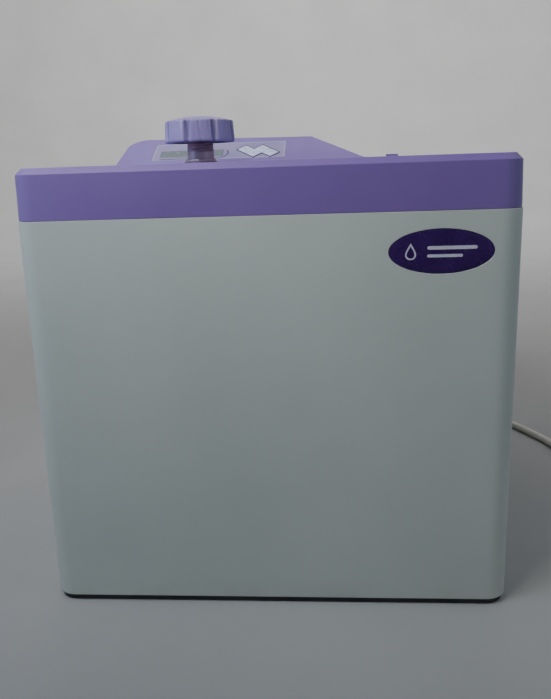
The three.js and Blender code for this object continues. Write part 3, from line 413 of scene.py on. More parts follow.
def knob_plastic():
    """Moulded grey violet with pale worn edges, scuffed up and down by hands, and painted shade in the
    flutes' hollows.
    """
    material, tree, shader = start("knob plastic")
    base = blend_colors(tree, noise(tree, 18, 5), rgba((0.245, 0.185, 0.475)), rgba((0.315, 0.245, 0.56)))
    scratches = noise(tree, 420, 6, 0.56, 0.72, (1, 1, 0.05))
    base = blend_colors(tree, times(tree, scratches, 0.55), base, rgba((0.60, 0.56, 0.72)))
    lows = noise(tree, 300, 4, 0.60, 0.75, (1, 1, 0.08))
    base = blend_colors(tree, times(tree, lows, 0.5), base, rgba((0.13, 0.10, 0.22)))
    rubbed_or_gap_shaded = times(tree, edge_mask(tree, 0.9), noise(tree, 160, 5, 0.36, 0.60))
    base = blend_colors(tree, times(tree, rubbed_or_gap_shaded, 0.4), base, rgba((0.56, 0.52, 0.68)))
    # painted shade: the flutes' hollows on the knob's sides are darkened towards deep violet
    centre, high = middle("door_knob") * MM, span("door_knob")[1] * MM
    place = object_position(tree)
    from_axis = add(tree, "VectorMath", {0: place, 1: tuple(centre)}, operation="SUBTRACT").outputs[0]
    flat = add(tree, "VectorMath", {0: from_axis, 1: (1, 1, 0)}, operation="MULTIPLY").outputs[0]
    reach = add(tree, "VectorMath", {0: flat}, operation="LENGTH").outputs["Value"]
    outside, shallow, deep = high.x - centre.x, 1.3 * MM, 2.1 * MM
    flute_shade = add(tree, "MapRange", {"Value": reach, "From Min": outside - shallow,
                                  "From Max": outside - deep}).outputs[0]
    sideways = add(tree, "Math", {0: 1.0, 1: upward(tree)}, operation="SUBTRACT").outputs[0]
    base = blend_colors(tree, times(tree, times(tree, flute_shade, sideways), 0.6), base, rgba((0.10, 0.075, 0.19)))
    relief = noise(tree, 700, 5, 0.3, 0.7, (1, 1, 0.12))
    surface(tree, shader, base, scratches, (0.38, 0.6), relief, 0.35, 0.08)
    return material


def board_lacquer():
    """Green solder resist with a faint net of tracks."""
    material, tree, shader = start("board lacquer", coat_weight=0.4)
    cells = add(tree, "TexVoronoi", {"Vector": object_position(tree), "Scale": 260.0},
                feature="DISTANCE_TO_EDGE", distance="CHEBYCHEV").outputs["Distance"]
    tracks = add(tree, "MapRange", {"Value": cells, "From Min": 0.10, "From Max": 0.05}).outputs[0]
    color = blend_colors(tree, tracks, rgba((0.012, 0.10, 0.035)), rgba((0.03, 0.19, 0.07)))
    surface(tree, shader, color, tracks, (0.3, 0.42), tracks, 0.4, 0.05)
    return material


def ink(name, dark, light, rough=(0.45, 0.55), patch=200):
    return textured(name, dark, light, rough, patch, grain=1500, bump=0.1, depth=0.01)


GREY_DARK, GREY_LIGHT = (0.50, 0.545, 0.515), (0.55, 0.595, 0.565)
PURPLE_DARK, PURPLE_LIGHT = (0.188, 0.111, 0.36), (0.216, 0.132, 0.40)

MATERIALS.update({
    "casing_grey": textured("casing enamel", GREY_DARK, GREY_LIGHT, (0.42, 0.5), patch=5, grain=1100,
                            bump=0.16, depth=0.05, grime=((0.33, 0.30, 0.23), 2, 26, 0.3),
                            dust_and_top_light=((0.62, 0.60, 0.55), 0.25)),
    # the cover's faces that look up are painted a lighter bluish violet: painted top light
    "cover_purple": textured("cover moulding", PURPLE_DARK, PURPLE_LIGHT, (0.38, 0.48), patch=6, grain=1300,
                             bump=0.2, depth=0.05, wear_and_gap_shade=((0.42, 0.36, 0.62), 0.9, 0.35),
                             dust_and_top_light=((0.42, 0.34, 0.74), 0.46)),
    "knob_purple": knob_plastic(),
    "label_lilac": textured("label film", (0.29, 0.245, 0.46), (0.34, 0.295, 0.52), (0.34, 0.44), patch=22,
                            grain=1600, bump=0.12, depth=0.03),
    "badge_indigo": textured("badge resin", (0.028, 0.004, 0.085), (0.040, 0.008, 0.115), (0.22, 0.32),
                             patch=40, grain=300, bump=0.04, depth=0.05, coat_weight=0.25),
    # the key caps' edges are painted a darker lilac: painted shade of the gaps between the keys
    "key_white": textured("key cap", (0.62, 0.645, 0.89), (0.69, 0.72, 0.96), (0.36, 0.46), patch=90,
                          grain=1500, bump=0.12, depth=0.03, wear_and_gap_shade=((0.34, 0.32, 0.54), 0.7, 0.85)),
    "lcd": textured("display glass", (0.175, 0.205, 0.225), (0.20, 0.235, 0.255), (0.2, 0.28), patch=70,
                    grain=800, bump=0.03, depth=0.02, coat_weight=0.5),
    "black_plastic": textured("black moulding", (0.016, 0.016, 0.018), (0.034, 0.034, 0.037), (0.5, 0.65),
                              patch=20, grain=900, bump=0.3, depth=0.08, wear_and_gap_shade=((0.12, 0.12, 0.12), 0.6, 0.5)),
    "rubber": textured("foot rubber", (0.014, 0.014, 0.014), (0.03, 0.029, 0.028), (0.75, 0.9), patch=60,
                       grain=500, bump=0.4, depth=0.12),
    "stainless": brushed("brushed stainless", (0.50, 0.505, 0.51), (0.62, 0.625, 0.63), (0.24, 0.38),
                         (1, 0.06, 1)),
    "dark_steel": brushed("oiled steel", (0.13, 0.105, 0.145), (0.26, 0.215, 0.26), (0.3, 0.48), (1, 1, 0.2)),
    "zinc_plate": textured("zinc plating", (0.36, 0.38, 0.40), (0.56, 0.57, 0.56), (0.34, 0.52), patch=55,
                           grain=240, bump=0.15, depth=0.05, metallic=1.0),
    "brass": brushed("machined brass", (0.50, 0.35, 0.13), (0.66, 0.49, 0.21), (0.24, 0.4), (1, 0.15, 1)),
    "copper": textured("drawn copper", (0.42, 0.16, 0.075), (0.66, 0.30, 0.16), (0.22, 0.42), patch=45,
                       grain=500, bump=0.12, depth=0.04, metallic=1.0),
    "silicone": textured("silicone", (0.58, 0.55, 0.49), (0.70, 0.67, 0.61), (0.45, 0.6), patch=30,
                         grain=500, bump=0.2, depth=0.08, subsurface_weight=0.15, subsurface_scale=0.004),
    "insulation": textured("mineral felt", (0.55, 0.50, 0.40), (0.74, 0.70, 0.60), (0.9, 1.0), patch=30,
                           grain=420, bump=1.0, depth=1.2, stretch=(1, 0.4, 1), sheen_weight=0.35,
                           sheen_roughness=0.6),
    "tank_plastic": textured("tank plastic", (0.60, 0.64, 0.66), (0.70, 0.74, 0.75), (0.38, 0.5), patch=14,
                             grain=500, bump=0.15, depth=0.06, subsurface_weight=0.2, subsurface_scale=0.006),
    "circuit_board": board_lacquer(),
    "red_plastic": textured("red plastic", (0.36, 0.015, 0.013), (0.50, 0.028, 0.022), (0.3, 0.42), patch=60,
                            grain=900, bump=0.12, depth=0.04, wear_and_gap_shade=((0.65, 0.2, 0.17), 0.4, 0.4)),
    "cord_pvc": textured("lead PVC", (0.60, 0.565, 0.50), (0.72, 0.69, 0.63), (0.42, 0.55), patch=26,
                         grain=650, bump=0.15, depth=0.06, grime=((0.34, 0.30, 0.25), 0, 7, 0.55)),
})
PRINT_INDIGO = ink("print ink", (0.045, 0.03, 0.11), (0.07, 0.045, 0.15))
PRINT_GREY = ink("icon ink", (0.40, 0.41, 0.50), (0.48, 0.49, 0.58))
PRINT_PALE = ink("badge print", (0.56, 0.54, 0.66), (0.66, 0.64, 0.76), (0.35, 0.45), 150)
PRINT_LILAC = textured("margin print", (0.40, 0.37, 0.56), (0.45, 0.42, 0.61), (0.38, 0.48), patch=150,
                       grain=1500, bump=0.1, depth=0.01)
STEM_STEEL = textured("clamp screw steel", (0.42, 0.29, 0.37), (0.56, 0.41, 0.50), (0.34, 0.5), patch=120,
                      grain=500, bump=0.3, depth=0.05, stretch=(1, 1, 0.4), metallic=0.55,
                      wear_and_gap_shade=((0.62, 0.54, 0.6), 0.5, 0.5))
NICKEL = brushed("nickel plate", (0.55, 0.53, 0.50), (0.68, 0.66, 0.62), (0.2, 0.34), (1, 0.1, 1))


# ---- mains lead -----------------------------------------

CORD_R = 5.0
COIL_FLOOR, COIL_TOP = 5.2, 15.0      # heights of the lower and the upper layer's middle
# The free stretch, as in the CAD: straight out of the gland, down to the surface, round the casing's corner
# and forward to the coil.
CORD_ROUTE = [
    (165, 274.3, 45), (166, 288, 44.4), (170.5, 302, 41.5), (179.5, 315, 37.5), (194, 326, 31),
    (210, 332, 23), (227, 334, 15), (244, 332, 9), (260, 327, 6), (275, 319, COIL_FLOOR),
    (289, 308, COIL_FLOOR), (302, 292, COIL_FLOOR), (312, 273, COIL_FLOOR), (321, 252, COIL_FLOOR),
    (331, 230, COIL_FLOOR), (342, 208, COIL_FLOOR), (353, 187, COIL_FLOOR), (363, 166, COIL_FLOOR),
    (371, 148, COIL_FLOOR), (377, 132, COIL_FLOOR), (381, 119, COIL_FLOOR), (383.5, 107, COIL_FLOOR),
    (384, 97.3, COIL_FLOOR),
]
COIL_CENTRE = (454.0, 60.0)
COIL_OUT, COIL_IN, COIL_LEAVE = 70.0, 50.0, 65.0   # radii where the lead enters, climbs and leaves
CLIMB = (880, 965)                    # degrees of winding between which it climbs
TURN_IN, TURN_INNER, TURN_OUT = 180, 900, 1440   # degrees at the start, at the smallest radius and at the end
RUN_OUT = 54.3                        # straight length from the coil to the plug


def coil_point(turned):
    """Where the lead's middle lies after turning this many degrees."""
    rise = min(max((turned - CLIMB[0]) / (CLIMB[1] - CLIMB[0]), 0), 1)
    z = COIL_FLOOR + (COIL_TOP - COIL_FLOOR) * (0.5 - 0.5 * math.cos(math.pi * rise))
    if turned <= TURN_INNER:
        radius = COIL_OUT - (COIL_OUT - COIL_IN) * (turned - TURN_IN) / (TURN_INNER - TURN_IN)
    else:
        radius = COIL_IN + (COIL_LEAVE - COIL_IN) * max(turned - CLIMB[1], 0) / (TURN_OUT - CLIMB[1])
    angle = math.radians(turned)
    return Vector((COIL_CENTRE[0] + radius * math.cos(angle), COIL_CENTRE[1] + radius * math.sin(angle), z))


def cord_line():
    free = smooth_line(CORD_ROUTE, 6)
    turns = [coil_point(turned) for turned in range(TURN_IN, TURN_OUT + 1, 6)]
    plug_z = middle("mains_plug").z
    leaving = [turns[-1] + Vector((0, d, (plug_z - COIL_TOP) * (d / RUN_OUT) ** 2 * (3 - 2 * d / RUN_OUT)))
               for d in (10, 20, 30, 40, 48, RUN_OUT)]
    return free + turns + leaving


def make_cord():
    data = bpy.data.curves.new("mains_lead", "CURVE")
    data.dimensions = "3D"
    line = cord_line()
    spline = data.splines.new("POLY")
    spline.points.add(len(line) - 1)
    for point, place in zip(spline.points, line):
        point.co = (*(place * MM), 1.0)
    spline.use_smooth = True
    data.bevel_depth = CORD_R * MM
    data.bevel_resolution = 5
    data.use_fill_caps = True
    data.materials.append(MATERIALS["cord_pvc"])
    lead = bpy.data.objects.new("mains_lead", data)
    bpy.context.scene.collection.objects.link(lead)
    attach(lead, "cabinet")
    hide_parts("mains_cord", "cord_coil")
    return lead


def make_relief():
    """The ribbed sleeve that keeps the lead from kinking at the gland."""
    line = smooth_line(CORD_ROUTE[:4], 40)
    length, wide, narrow, groove_deep, groove_step = 30.0, 8.2, 6.0, 0.7, 5
    radii, points, gone = [], [], 0.0
    for i, point in enumerate(line):
        gone += (point - line[i - 1]).length if i else 0.0
        if gone > length:
            break
        taper = wide - (wide - narrow) * gone / length
        ribbed = 2 < gone < length - 2
        groove = groove_deep * max(0, math.sin(gone * TAU / groove_step)) if ribbed else 0
        points.append(point)
        radii.append(taper - groove)
    return piece("strain_relief", sweep(points, radii, 32), "black_plastic", "cabinet", crease=60)


def make_tie():
    """A soft strap round the wound turns."""
    x, y = COIL_CENTRE
    inner, outer, half, thick = COIL_IN - 6.2, COIL_OUT - 1.0, 5.0, 0.9
    foot, crown = 0.1, 20.8
    outline = rounded(inner, outer, foot, crown, 4.5, 8)
    hole = rounded(inner + thick, outer - thick, foot + thick, crown - thick, 3.8, 8)
    flat, faces = frame_of(outline, hole, -half, half)
    upright = [Vector((x + v.z, y + v.x, v.y)) for v in flat]
    return piece("coil_strap", (upright, faces), "black_plastic", "cabinet", bevel=0.2)


def make_plug():
    """A generic round two-pin plug: ribbed neck, turned grip, flat face, two pins."""
    x = COIL_CENTRE[0] + COIL_LEAVE
    low, high = span("mains_plug")
    z = (low.z + high.z) / 2
    body_r = (high.z - low.z) / 2
    start_y = low.y
    neck, face = start_y + 26, start_y + 56
    ribs = []
    for k in range(5):
        at = start_y + 3 + k * 4.4
        size = CORD_R + 1.2 + 0.45 * k
        ribs += [(size - 0.8, at - 0.4), (size, at), (size, at + 2.4), (size - 0.8, at + 2.8)]
    body = lathe([(0, start_y), (CORD_R + 0.5, start_y), *ribs, (9.6, neck + 0.5), (13.2, neck + 2),
                  (16, neck + 5), (body_r - 0.6, neck + 9), (body_r, neck + 12), (body_r, face - 1.6),
                  (body_r - 1.6, face), (15.2, face), (15.2, face - 1), (0, face - 1)], 96,
                 lambda angle, r, h: (r - (0.5 * (0.5 + 0.5 * math.cos(24 * angle))
                                           if neck + 10 < h < face - 1 and r > 16 else 0), h))
    grip = piece("plug_body", along_y(body, x, 0, z), "cord_pvc", "cabinet", ["mains_plug"], crease=50)
    pin = lathe([(0, face - 2), (2.4, face - 2), (2.4, high.y - 2), (1.9, high.y - 0.6), (0, high.y)], 32)
    pins = [along_y(pin, x + side * 9.5, 0, z) for side in (-1, 1)]
    prongs = piece("plug_pins", merged(*pins), "cord_pvc", "cabinet", look=NICKEL)
    return grip, prongs


lead = make_cord()
on_lead = [make_relief(), make_tie(), *make_plug()]


# ---- fasteners ------------------------------------------

def screw_head(radius=3.2, rise=1.9):
    """A pan head with a cross recess, standing on z 0 and looking up +Z."""
    rows = [(0, -1.5), (radius * 0.6, -1.5), (radius * 0.6, 0), (radius, 0), (radius, rise * 0.45),
            (radius * 0.86, rise * 0.82)]
    rows += [(radius * r, rise) for r in (0.66, 0.56, 0.46, 0.36, 0.26, 0.16)] + [(0, rise)]

    def recess(angle, r, h):
        if h < rise - 1e-6 or r > radius * 0.6:
            return r, h
        across = r * abs(math.sin(2 * angle)) / 2
        return (r, rise - 1.1) if across < 0.42 else (r, h)

    vertices, faces = lathe(rows, 48, recess)
    vertices[-1] = Vector((0, 0, rise - 1.1))
    return vertices, faces


def screws(name, body, places, turn, slot="zinc_plate", radius=3.2):
    """A group of screw heads; turn carries +Z to the way that they face."""
    rng = random.Random(name)
    heads = []
    for place in places:
        spin = Matrix.Rotation(rng.uniform(0, TAU), 4, "Z")
        heads.append(moved(screw_head(radius), Matrix.Translation(place) @ turn @ spin))
    return piece(name, merged(*heads), slot, body, crease=40)


TO_BACK = Matrix.Rotation(-math.pi / 2, 4, "X")
TO_FRONT = Matrix.Rotation(math.pi / 2, 4, "X")


# ---- door -----------------------------------------------

def make_door():
    eased("door_shell", 1.2, 3)
    eased("door_cap", 1.0, 3, 28)
    eased("door_liner", 0.5)
    eased("door_carrier", 0.6)
    low, high = span("door_liner")
    places = [(x, high.y, z) for x in (low.x + 12, -70, 70, high.x - 10) for z in (low.z + 14, high.z - 14)]
    screws("liner_screws", "door", places, TO_BACK, radius=3.0)


def make_badge():
    """An indigo oval that fills its seat, with a drop mark and two bars."""
    centre = middle("door_badge")
    low, high = span("door_badge")
    half_w, half_h = (high.x - low.x) / 2 + 0.2, (high.z - low.z) / 2 + 0.2
    face = span("door_shell")[0].y
    seat = Matrix.Translation((centre.x, face, centre.z))
    stretch = seat @ Matrix.Diagonal((half_w, 1, half_h, 1)) @ TO_FRONT
    plate = lathe([(0, 0.10), (0.5, 0.12), (0.85, 0.18), (0.975, 0.30), (1.0, 0.55), (1.0, 1.6),
                   (0, 1.6)], 128)
    plate = [Vector((v.x, v.y, -v.z)) for v in plate[0]], plate[1]
    standing_for("door_badge", "badge_plate", moved(plate, stretch), crease=50)
    onto = seat @ TO_FRONT
    drop_x, drop_y, drop_top, steps, shrink = -26, -2.3, 7.5, 64, 0.72
    print_high = (-0.25, -0.02)
    drop = []
    for k in range(steps):
        angle = TAU * k / steps
        pinch = math.sin(angle / 2) ** 1.4
        drop.append((drop_x + 6.4 * math.sin(angle) * pinch, drop_top - 7.2 * (1 - math.cos(angle))))
    inner = [(drop_x + (x - drop_x) * shrink, drop_y + (y - drop_y) * shrink) for x, y in drop]
    bars = [prism(rounded(-12, 30, 1.6, 4.6, 1.4), *print_high),
            prism(rounded(-12, 18, -5.0, -2.4, 1.2), *print_high)]
    mark = merged(frame_of(drop, inner, *print_high), *bars)
    piece("badge_mark", moved(mark, onto), "badge_indigo", "door", look=PRINT_PALE)


def make_lid():
    """Pressed steel disc with a raised rib, and the silicone ring in front of it."""
    low, high = span("chamber_lid")
    radius = (high.x - low.x) / 2
    z = middle("chamber_lid").z
    front, back = low.y, high.y
    profile = [(0, front), (58, front), (62, front + 0.4), (69, front + 1.8), (73, front + 2),
               (radius - 3, front + 2), (radius - 0.8, front + 2.8), (radius, front + 4),
               (radius, back - 0.8), (radius - 0.8, back), (121, back), (116, back - 0.6),
               (110, back - 2.6), (106, back - 3), (70, back - 3), (66, back - 2.4), (60, back - 2.4),
               (56, back - 3), (0, back - 3)]
    standing_for("chamber_lid", "lid_disc", along_y(lathe(profile, 128), 0, 0, z), crease=40)
    gasket_low, gasket_high = span("lid_gasket")
    outer = (gasket_high.x - gasket_low.x) / 2
    lip = [(outer - 11, gasket_low.y), (outer, gasket_low.y), (outer, gasket_low.y + 3.4),
           (outer - 1.2, gasket_high.y - 0.8), (outer - 2.6, gasket_high.y), (outer - 4, gasket_high.y - 0.9),
           (outer - 5.5, gasket_high.y - 2.2), (outer - 7, gasket_high.y - 0.9),
           (outer - 8.4, gasket_high.y), (outer - 9.8, gasket_high.y - 0.8), (outer - 11, gasket_low.y + 3.4),
           (outer - 11, gasket_low.y)]
    standing_for("lid_gasket", "gasket_ring", along_y(lathe(lip, 128), 0, 0, z), crease=60)


def make_stem():
    """The threaded clamp screw, its plated sleeve above the door, and the flared washer."""
    low, high = span("lock_spindle")
    centre = middle("lock_spindle")
    collar_top, shelf_top, knob_base = 344.7, 353.3, span("door_knob")[0].z
    stem_r, journal_r, collar_r = 12.0, 8.0, 13.0
    thread_from, sleeve_from, sleeve_to, thread_to = 358.0, 414.0, 429.4, knob_base - 0.6
    pitch, starts, thread_deep = 4.0, 2, 0.75
    rows = [(0, low.z), (collar_r - 0.6, low.z), (collar_r, low.z + 0.6),
            (collar_r, collar_top - 0.6), (collar_r - 0.6, collar_top), (journal_r, collar_top),
            (journal_r, shelf_top), (stem_r - 0.4, shelf_top + 2.4)]
    rows += [(stem_r, thread_from + 0.25 * k) for k in range(int((thread_to - thread_from) / 0.25) + 1)]
    rows += [(stem_r - 0.5, knob_base - 0.35), (journal_r, knob_base - 0.3), (journal_r, high.z - 0.3),
             (journal_r - 0.5, high.z), (0, high.z)]

    def thread(angle, r, h):
        if not thread_from < h < thread_to or sleeve_from < h < sleeve_to or r < stem_r - 0.1:
            return r, h
        phase = (h / pitch * starts - starts * angle / TAU) % 1.0
        flank = min(max(abs(phase - 0.5) * 4 - 0.5, 0), 1)
        return r - thread_deep * flank, h

    shape = shifted(lathe(rows, 72, thread), centre.x, centre.y)
    standing_for("lock_spindle", "clamp_screw", shape, crease=50, look=STEM_STEEL)
    low, high = span("stem_washer")
    inner, outer = stem_r + 0.6, (high.x - low.x) / 2
    cup = [(inner, low.z), (outer - 0.4, low.z), (outer, low.z + 0.3), (outer - 0.3, low.z + 0.8),
           (outer - 1.6, low.z + 1.4), (inner + 1.0, high.z - 0.6), (inner + 0.5, high.z), (inner, high.z),
           (inner, low.z)]
    piece("flared_washer", shifted(lathe(cup, 72), centre.x, centre.y), "stainless", "door",
          ["stem_washer"], crease=50, look=STEM_STEEL)
    low, high = span("spindle_nut")
    inner, outer, neck = stem_r + 0.35, 26, 20
    nut = [(inner, low.z), (outer - 0.6, low.z), (outer, low.z + 0.6), (outer, low.z + 4),
           (outer - 0.6, low.z + 4.6), (neck + 1, low.z + 5), (neck, low.z + 6.6), (neck, high.z - 1),
           (neck - 1, high.z), (inner, high.z), (inner, low.z)]
    standing_for("spindle_nut", "fixed_nut", shifted(lathe(nut, 72), centre.x, centre.y), crease=40)


def make_knob():
    """Eight lobes parted by narrow round flutes, a slight flare to the bottom and a shallow crown."""
    low, high = span("door_knob")
    centre = middle("door_knob")
    foot, crown = low.z, high.z
    radius, lobes = 31.2, 8
    flute_half, flute_deep, turned = 3.2, 1.9, math.radians(11.6)
    flute_from, flute_full = 26.0, 30.0      # radii at which a flute begins and is fully deep
    flare, round_in, round_high, dome = 1.0, 1.6, 1.7, 4.0
    edge = crown - dome
    hub, hollow = 14.5, 9.0
    rows = [(0, foot + 0.6), (hub - 0.6, foot + 0.6), (hub, foot + 1.2), (hub, foot + hollow),
            (radius - 4.2, foot + hollow), (radius - 4.2, foot + 0.6), (radius - 3.6, foot),
            (radius - 0.9, foot + 0.25), (radius - 0.3, foot + 0.8), (radius, foot + round_high)]
    sides, turn_steps, crown_steps = 14, 8, 15
    side_high = edge - foot - 2 * round_high
    rows += [(radius - flare * k / sides, foot + round_high + side_high * k / sides)
             for k in range(1, sides + 1)]
    crown_from = radius - flare - round_in
    for k in range(1, turn_steps + 1):
        angle = (math.pi / 2) * k / turn_steps
        rows.append((crown_from + round_in * math.cos(angle),
                     edge - round_high + round_high * math.sin(angle)))
    for k in range(1, crown_steps):
        r = crown_from * (1 - k / crown_steps)
        rows.append((r, edge + dome * (1 - (r / crown_from) ** 2)))
    rows.append((0, crown))

    def flute(angle, r, h):
        step = TAU / lobes
        off = ((angle - turned) / step) % 1.0 - 0.5
        across = abs(off * step) * r
        share = min(max((r - flute_from) / (flute_full - flute_from), 0), 1)
        if across > flute_half:
            return r, h
        return r - share * flute_deep * (1 - (across / flute_half) ** 2), h

    shape = shifted(lathe(rows, 480, flute), centre.x, centre.y)
    standing_for("door_knob", "knob_moulding", shape, crease=34)


make_door()
make_badge()
make_lid()
make_stem()
make_knob()
eased("lock_plate", 0.4)


# ---- console --------------------------------------------

PANEL_TILT = math.radians(27)
PANEL_FOOT = (0, span("top_cover")[0].y + 1, 420)
ON_PANEL = Matrix.Translation(PANEL_FOOT) @ Matrix.Rotation(PANEL_TILT, 4, "X")
KEY_X, KEY_S, KEY_STEP = -12.5, 21.8, 8.4     # middle of the zig-zag, and the keys' pitch
# A plain printed line runs under the display window and turns up round its right end.
LINE_CLEAR, LINE_WIDE, LINE_STEP, LINE_STEPS = 3.0, 1.4, 10, 12


def key_places():
    return [(KEY_X + (i - 1.5) * KEY_STEP, KEY_S + (-0.5 if i % 2 else 0.5) * KEY_STEP) for i in range(4)]


def key_outline(out):
    """The zig-zag group's outline, moved out by so much."""
    corner = out * math.sqrt(2)
    points = [(-2.5, 0.5, -1, 0), (-1.5, 1.5, 0, 1), (-0.5, 0.5, 0, 1), (0.5, 1.5, 0, 1), (2.5, -0.5, 1, 0),
              (1.5, -1.5, 0, -1), (0.5, -0.5, 0, -1), (-0.5, -1.5, 0, -1)]
    return [(KEY_X + x * KEY_STEP + dx * corner, KEY_S + s * KEY_STEP + ds * corner)
            for x, s, dx, ds in points]


def make_console():
    eased("top_cover", 1.1, 3, 24)
    eased("console_label", 0.12)
    eased("lcd_window", 0.3)
    eased("display_board", 0.2)
    flat = ON_PANEL.inverted()
    left, foot, _ = flat @ span("lcd_window")[0]
    right, head, _ = flat @ span("lcd_window")[1]
    bend = LINE_CLEAR + (head - foot) / 2
    line = [(left, foot - LINE_CLEAR), (right - bend / 2, foot - LINE_CLEAR)]
    turn = [(right - bend / 2 + bend * math.sin(a), foot - LINE_CLEAR + bend - bend * math.cos(a))
            for a in (math.radians(LINE_STEP * k) for k in range(1, LINE_STEPS + 1))]
    under = ribbon(line + turn, [LINE_WIDE] * (len(line) + len(turn)), 0.1, 0.16)
    surround = frame_of(key_outline(0.85), key_outline(0.06), 0.1, 0.7)
    piece("key_surround", moved(surround, ON_PANEL), "label_lilac", "cabinet", bevel=0.15, look=PRINT_INDIGO)
    piece("label_print", moved(under, ON_PANEL), "label_lilac", "cabinet", look=PRINT_INDIGO)
    x0, x1, s0, s1, thin = -117.6, 14.2, 8.4, 42.6, 1.4
    margin = frame_of(rounded(x0, x1, s0, s1, 1.5),
                      rounded(x0 + thin, x1 - thin, s0 + thin, s1 - thin, 0.9), 0.1, 0.13)
    piece("label_margin", moved(margin, ON_PANEL), "label_lilac", "cabinet", look=PRINT_LILAC)


def make_keys():
    """Four moulded caps with small plain signs: up, down, ring and bar."""
    signs = [
        prism([(-2, -1.2), (2, -1.2), (0, 1.8)], 0, 0.06),
        prism([(-2, 1.2), (0, -1.8), (2, 1.2)], 0, 0.06),
        frame_of(circle(2.1, 32), circle(1.4, 32), 0, 0.06),
        prism(rounded(-2.2, 2.2, -0.5, 0.5, 0.3), 0, 0.06),
    ]
    for i, (x, s) in enumerate(key_places()):
        node = f"key_{i + 1}"
        standing_for(node, f"{node}_cap", cad_shape(node), 0.55, 3)
        sign = moved(signs[i], ON_PANEL @ Matrix.Translation((x, s, 0.88)))
        piece(f"{node}_sign", sign, "key_white", BODY_OF[node], look=PRINT_GREY)


make_console()
make_keys()


# ---- casing and rear ------------------------------------

def make_casing():
    for node in ("side_panel_left", "side_panel_right", "rear_panel", "front_frame"):
        eased(node, 0.35)
    eased("base_pan", 0.4)
    eased("wall_spacer", 0.8, 3)
    eased("tank_lid", 1.2, 3)
    for node in ("hinge_bracket_upper", "hinge_bracket_lower"):
        eased(node, 0.5)
    for i in range(1, 5):
        node = f"foot_{i}"
        top = span(node)[1].z
        centre = middle(node)
        pad = lathe([(0, 0), (12.2, 0), (13, 0.5), (13.6, 1.2), (13.2, 1.6), (14.6, 2.2), (15, top),
                     (0, top)], 64)
        standing_for(node, f"{node}_pad", shifted(pad, centre.x, centre.y), crease=50)


def louvre_hoods():
    """Pressed hoods over the rear panel's upper slots."""
    face = span("rear_panel")[1].y
    count, first_z, step, x0, x1 = 8, 180, 14, -191.5, -108.5
    hoods = []
    for i in range(count):
        z = first_z + i * step
        outline = [(face - 0.2, z - 0.6), (face + 3.2, z - 0.6), (face + 3.4, z + 0.4), (face + 2.4, z + 3.6),
                   (face + 0.9, z + 6.6), (face - 0.2, z + 8.0)]
        inner = [(face - 0.2, z - 0.6), (face + 2.4, z - 0.6), (face + 2.5, z + 0.2), (face + 1.7, z + 3.0),
                 (face + 0.4, z + 5.9), (face - 0.2, z + 6.9)]
        vertices = [Vector((x, y, h)) for x in (x0, x1) for y, h in outline + inner[::-1]]
        total = len(outline) + len(inner)
        faces = [[k, (k + 1) % total, total + (k + 1) % total, total + k] for k in range(total)]
        faces += [list(range(total)), list(range(total, 2 * total))[::-1]]
        hoods.append((vertices, faces))
        end_vertices, end_faces = prism(outline, 0, 1.0)
        for x in (x0 - 0.8, x1 - 0.2):
            hoods.append(([Vector((x + v.z, v.x, v.y)) for v in end_vertices], end_faces))
    piece("rear_louvre_hoods", merged(*hoods), "casing_grey", "cabinet", bevel=0.25)


def make_rear():
    louvre_hoods()
    low, high = span("rear_panel")
    face = high.y
    inset, fan_hole, spacer_z = 9, 35.5, 358
    columns = (low.x + inset, -70, 30, high.x - inset)
    edge = [(x, face, z) for x in columns for z in (low.z + inset, high.z - inset)]
    sides = [(x, face, z) for x in (low.x + inset, high.x - inset) for z in (130, 250)]
    screws("rear_screws", "cabinet", edge + sides, TO_BACK)
    fan = middle("fan_frame")
    places = [(fan.x + a * fan_hole, face, fan.z + b * fan_hole) for a in (-1, 1) for b in (-1, 1)]
    screws("fan_screws", "cabinet", places, TO_BACK, "dark_steel", 3.0)
    screws("spacer_screws", "cabinet", [(x, face + 4, spacer_z) for x in (-60, 60)], TO_BACK)
    gland = middle("cord_gland")
    tip = span("cord_gland")[1].y
    bore = CORD_R + 0.4
    body = [(bore, 246), (8.6, 246), (9, 246.4), (9, face + 0.3), (12.4, face + 0.3), (13, face + 0.9),
            (13, face + 6.6), (12.4, face + 7.2), (10.6, face + 7.6), (9.6, face + 13), (8.6, tip - 0.8),
            (8.0, tip), (bore, tip), (bore, 246)]

    def hexagonal(angle, r, h):
        flat = math.cos(((angle + TAU / 12) % (TAU / 6)) - TAU / 12)
        return (min(r, 11.6 / flat), h) if face < h < face + 7.3 and r > 11 else (r, h)

    nut = along_y(lathe(body, 96, hexagonal), gland.x, 0, gland.z)
    standing_for("cord_gland", "gland_nut", nut, crease=28)
    fuse = middle("fuse_holder")
    back = span("fuse_holder")[1].y

    def slotted(angle, r, h):
        deep = h > back - 0.3 and r < 6.5 and abs(r * math.sin(angle)) < 0.9
        return (r, h - 1.4) if deep else (r, h)

    end = [(r, back) for r in (6.4, 5, 4, 3, 2.4, 1.8, 1.2, 0.6)]
    cap = [(0, 240), (6.6, 240), (7, 240.4), (7, face + 0.3), (9, face + 0.3), (9, face + 3),
           (8.4, face + 3.6), (8, face + 3.6), (8, back - 1), (7.4, back), *end, (0, back)]
    turned = along_y(lathe(cap, 96, slotted), fuse.x, 0, fuse.z)
    standing_for("fuse_holder", "fuse_cap", turned, crease=40)
    sizes = {"mains_switch": 0.7, "drain_cock": 0.5, "drain_lever": 1.0, "safety_valve": 0.6,
             "safety_valve_lever": 0.4}
    for node, size in sizes.items():
        eased(node, size, 3)
    eased("mains_rocker", 0.8, 3, 20)


make_casing()
make_rear()


# ---- chamber and services -------------------------------

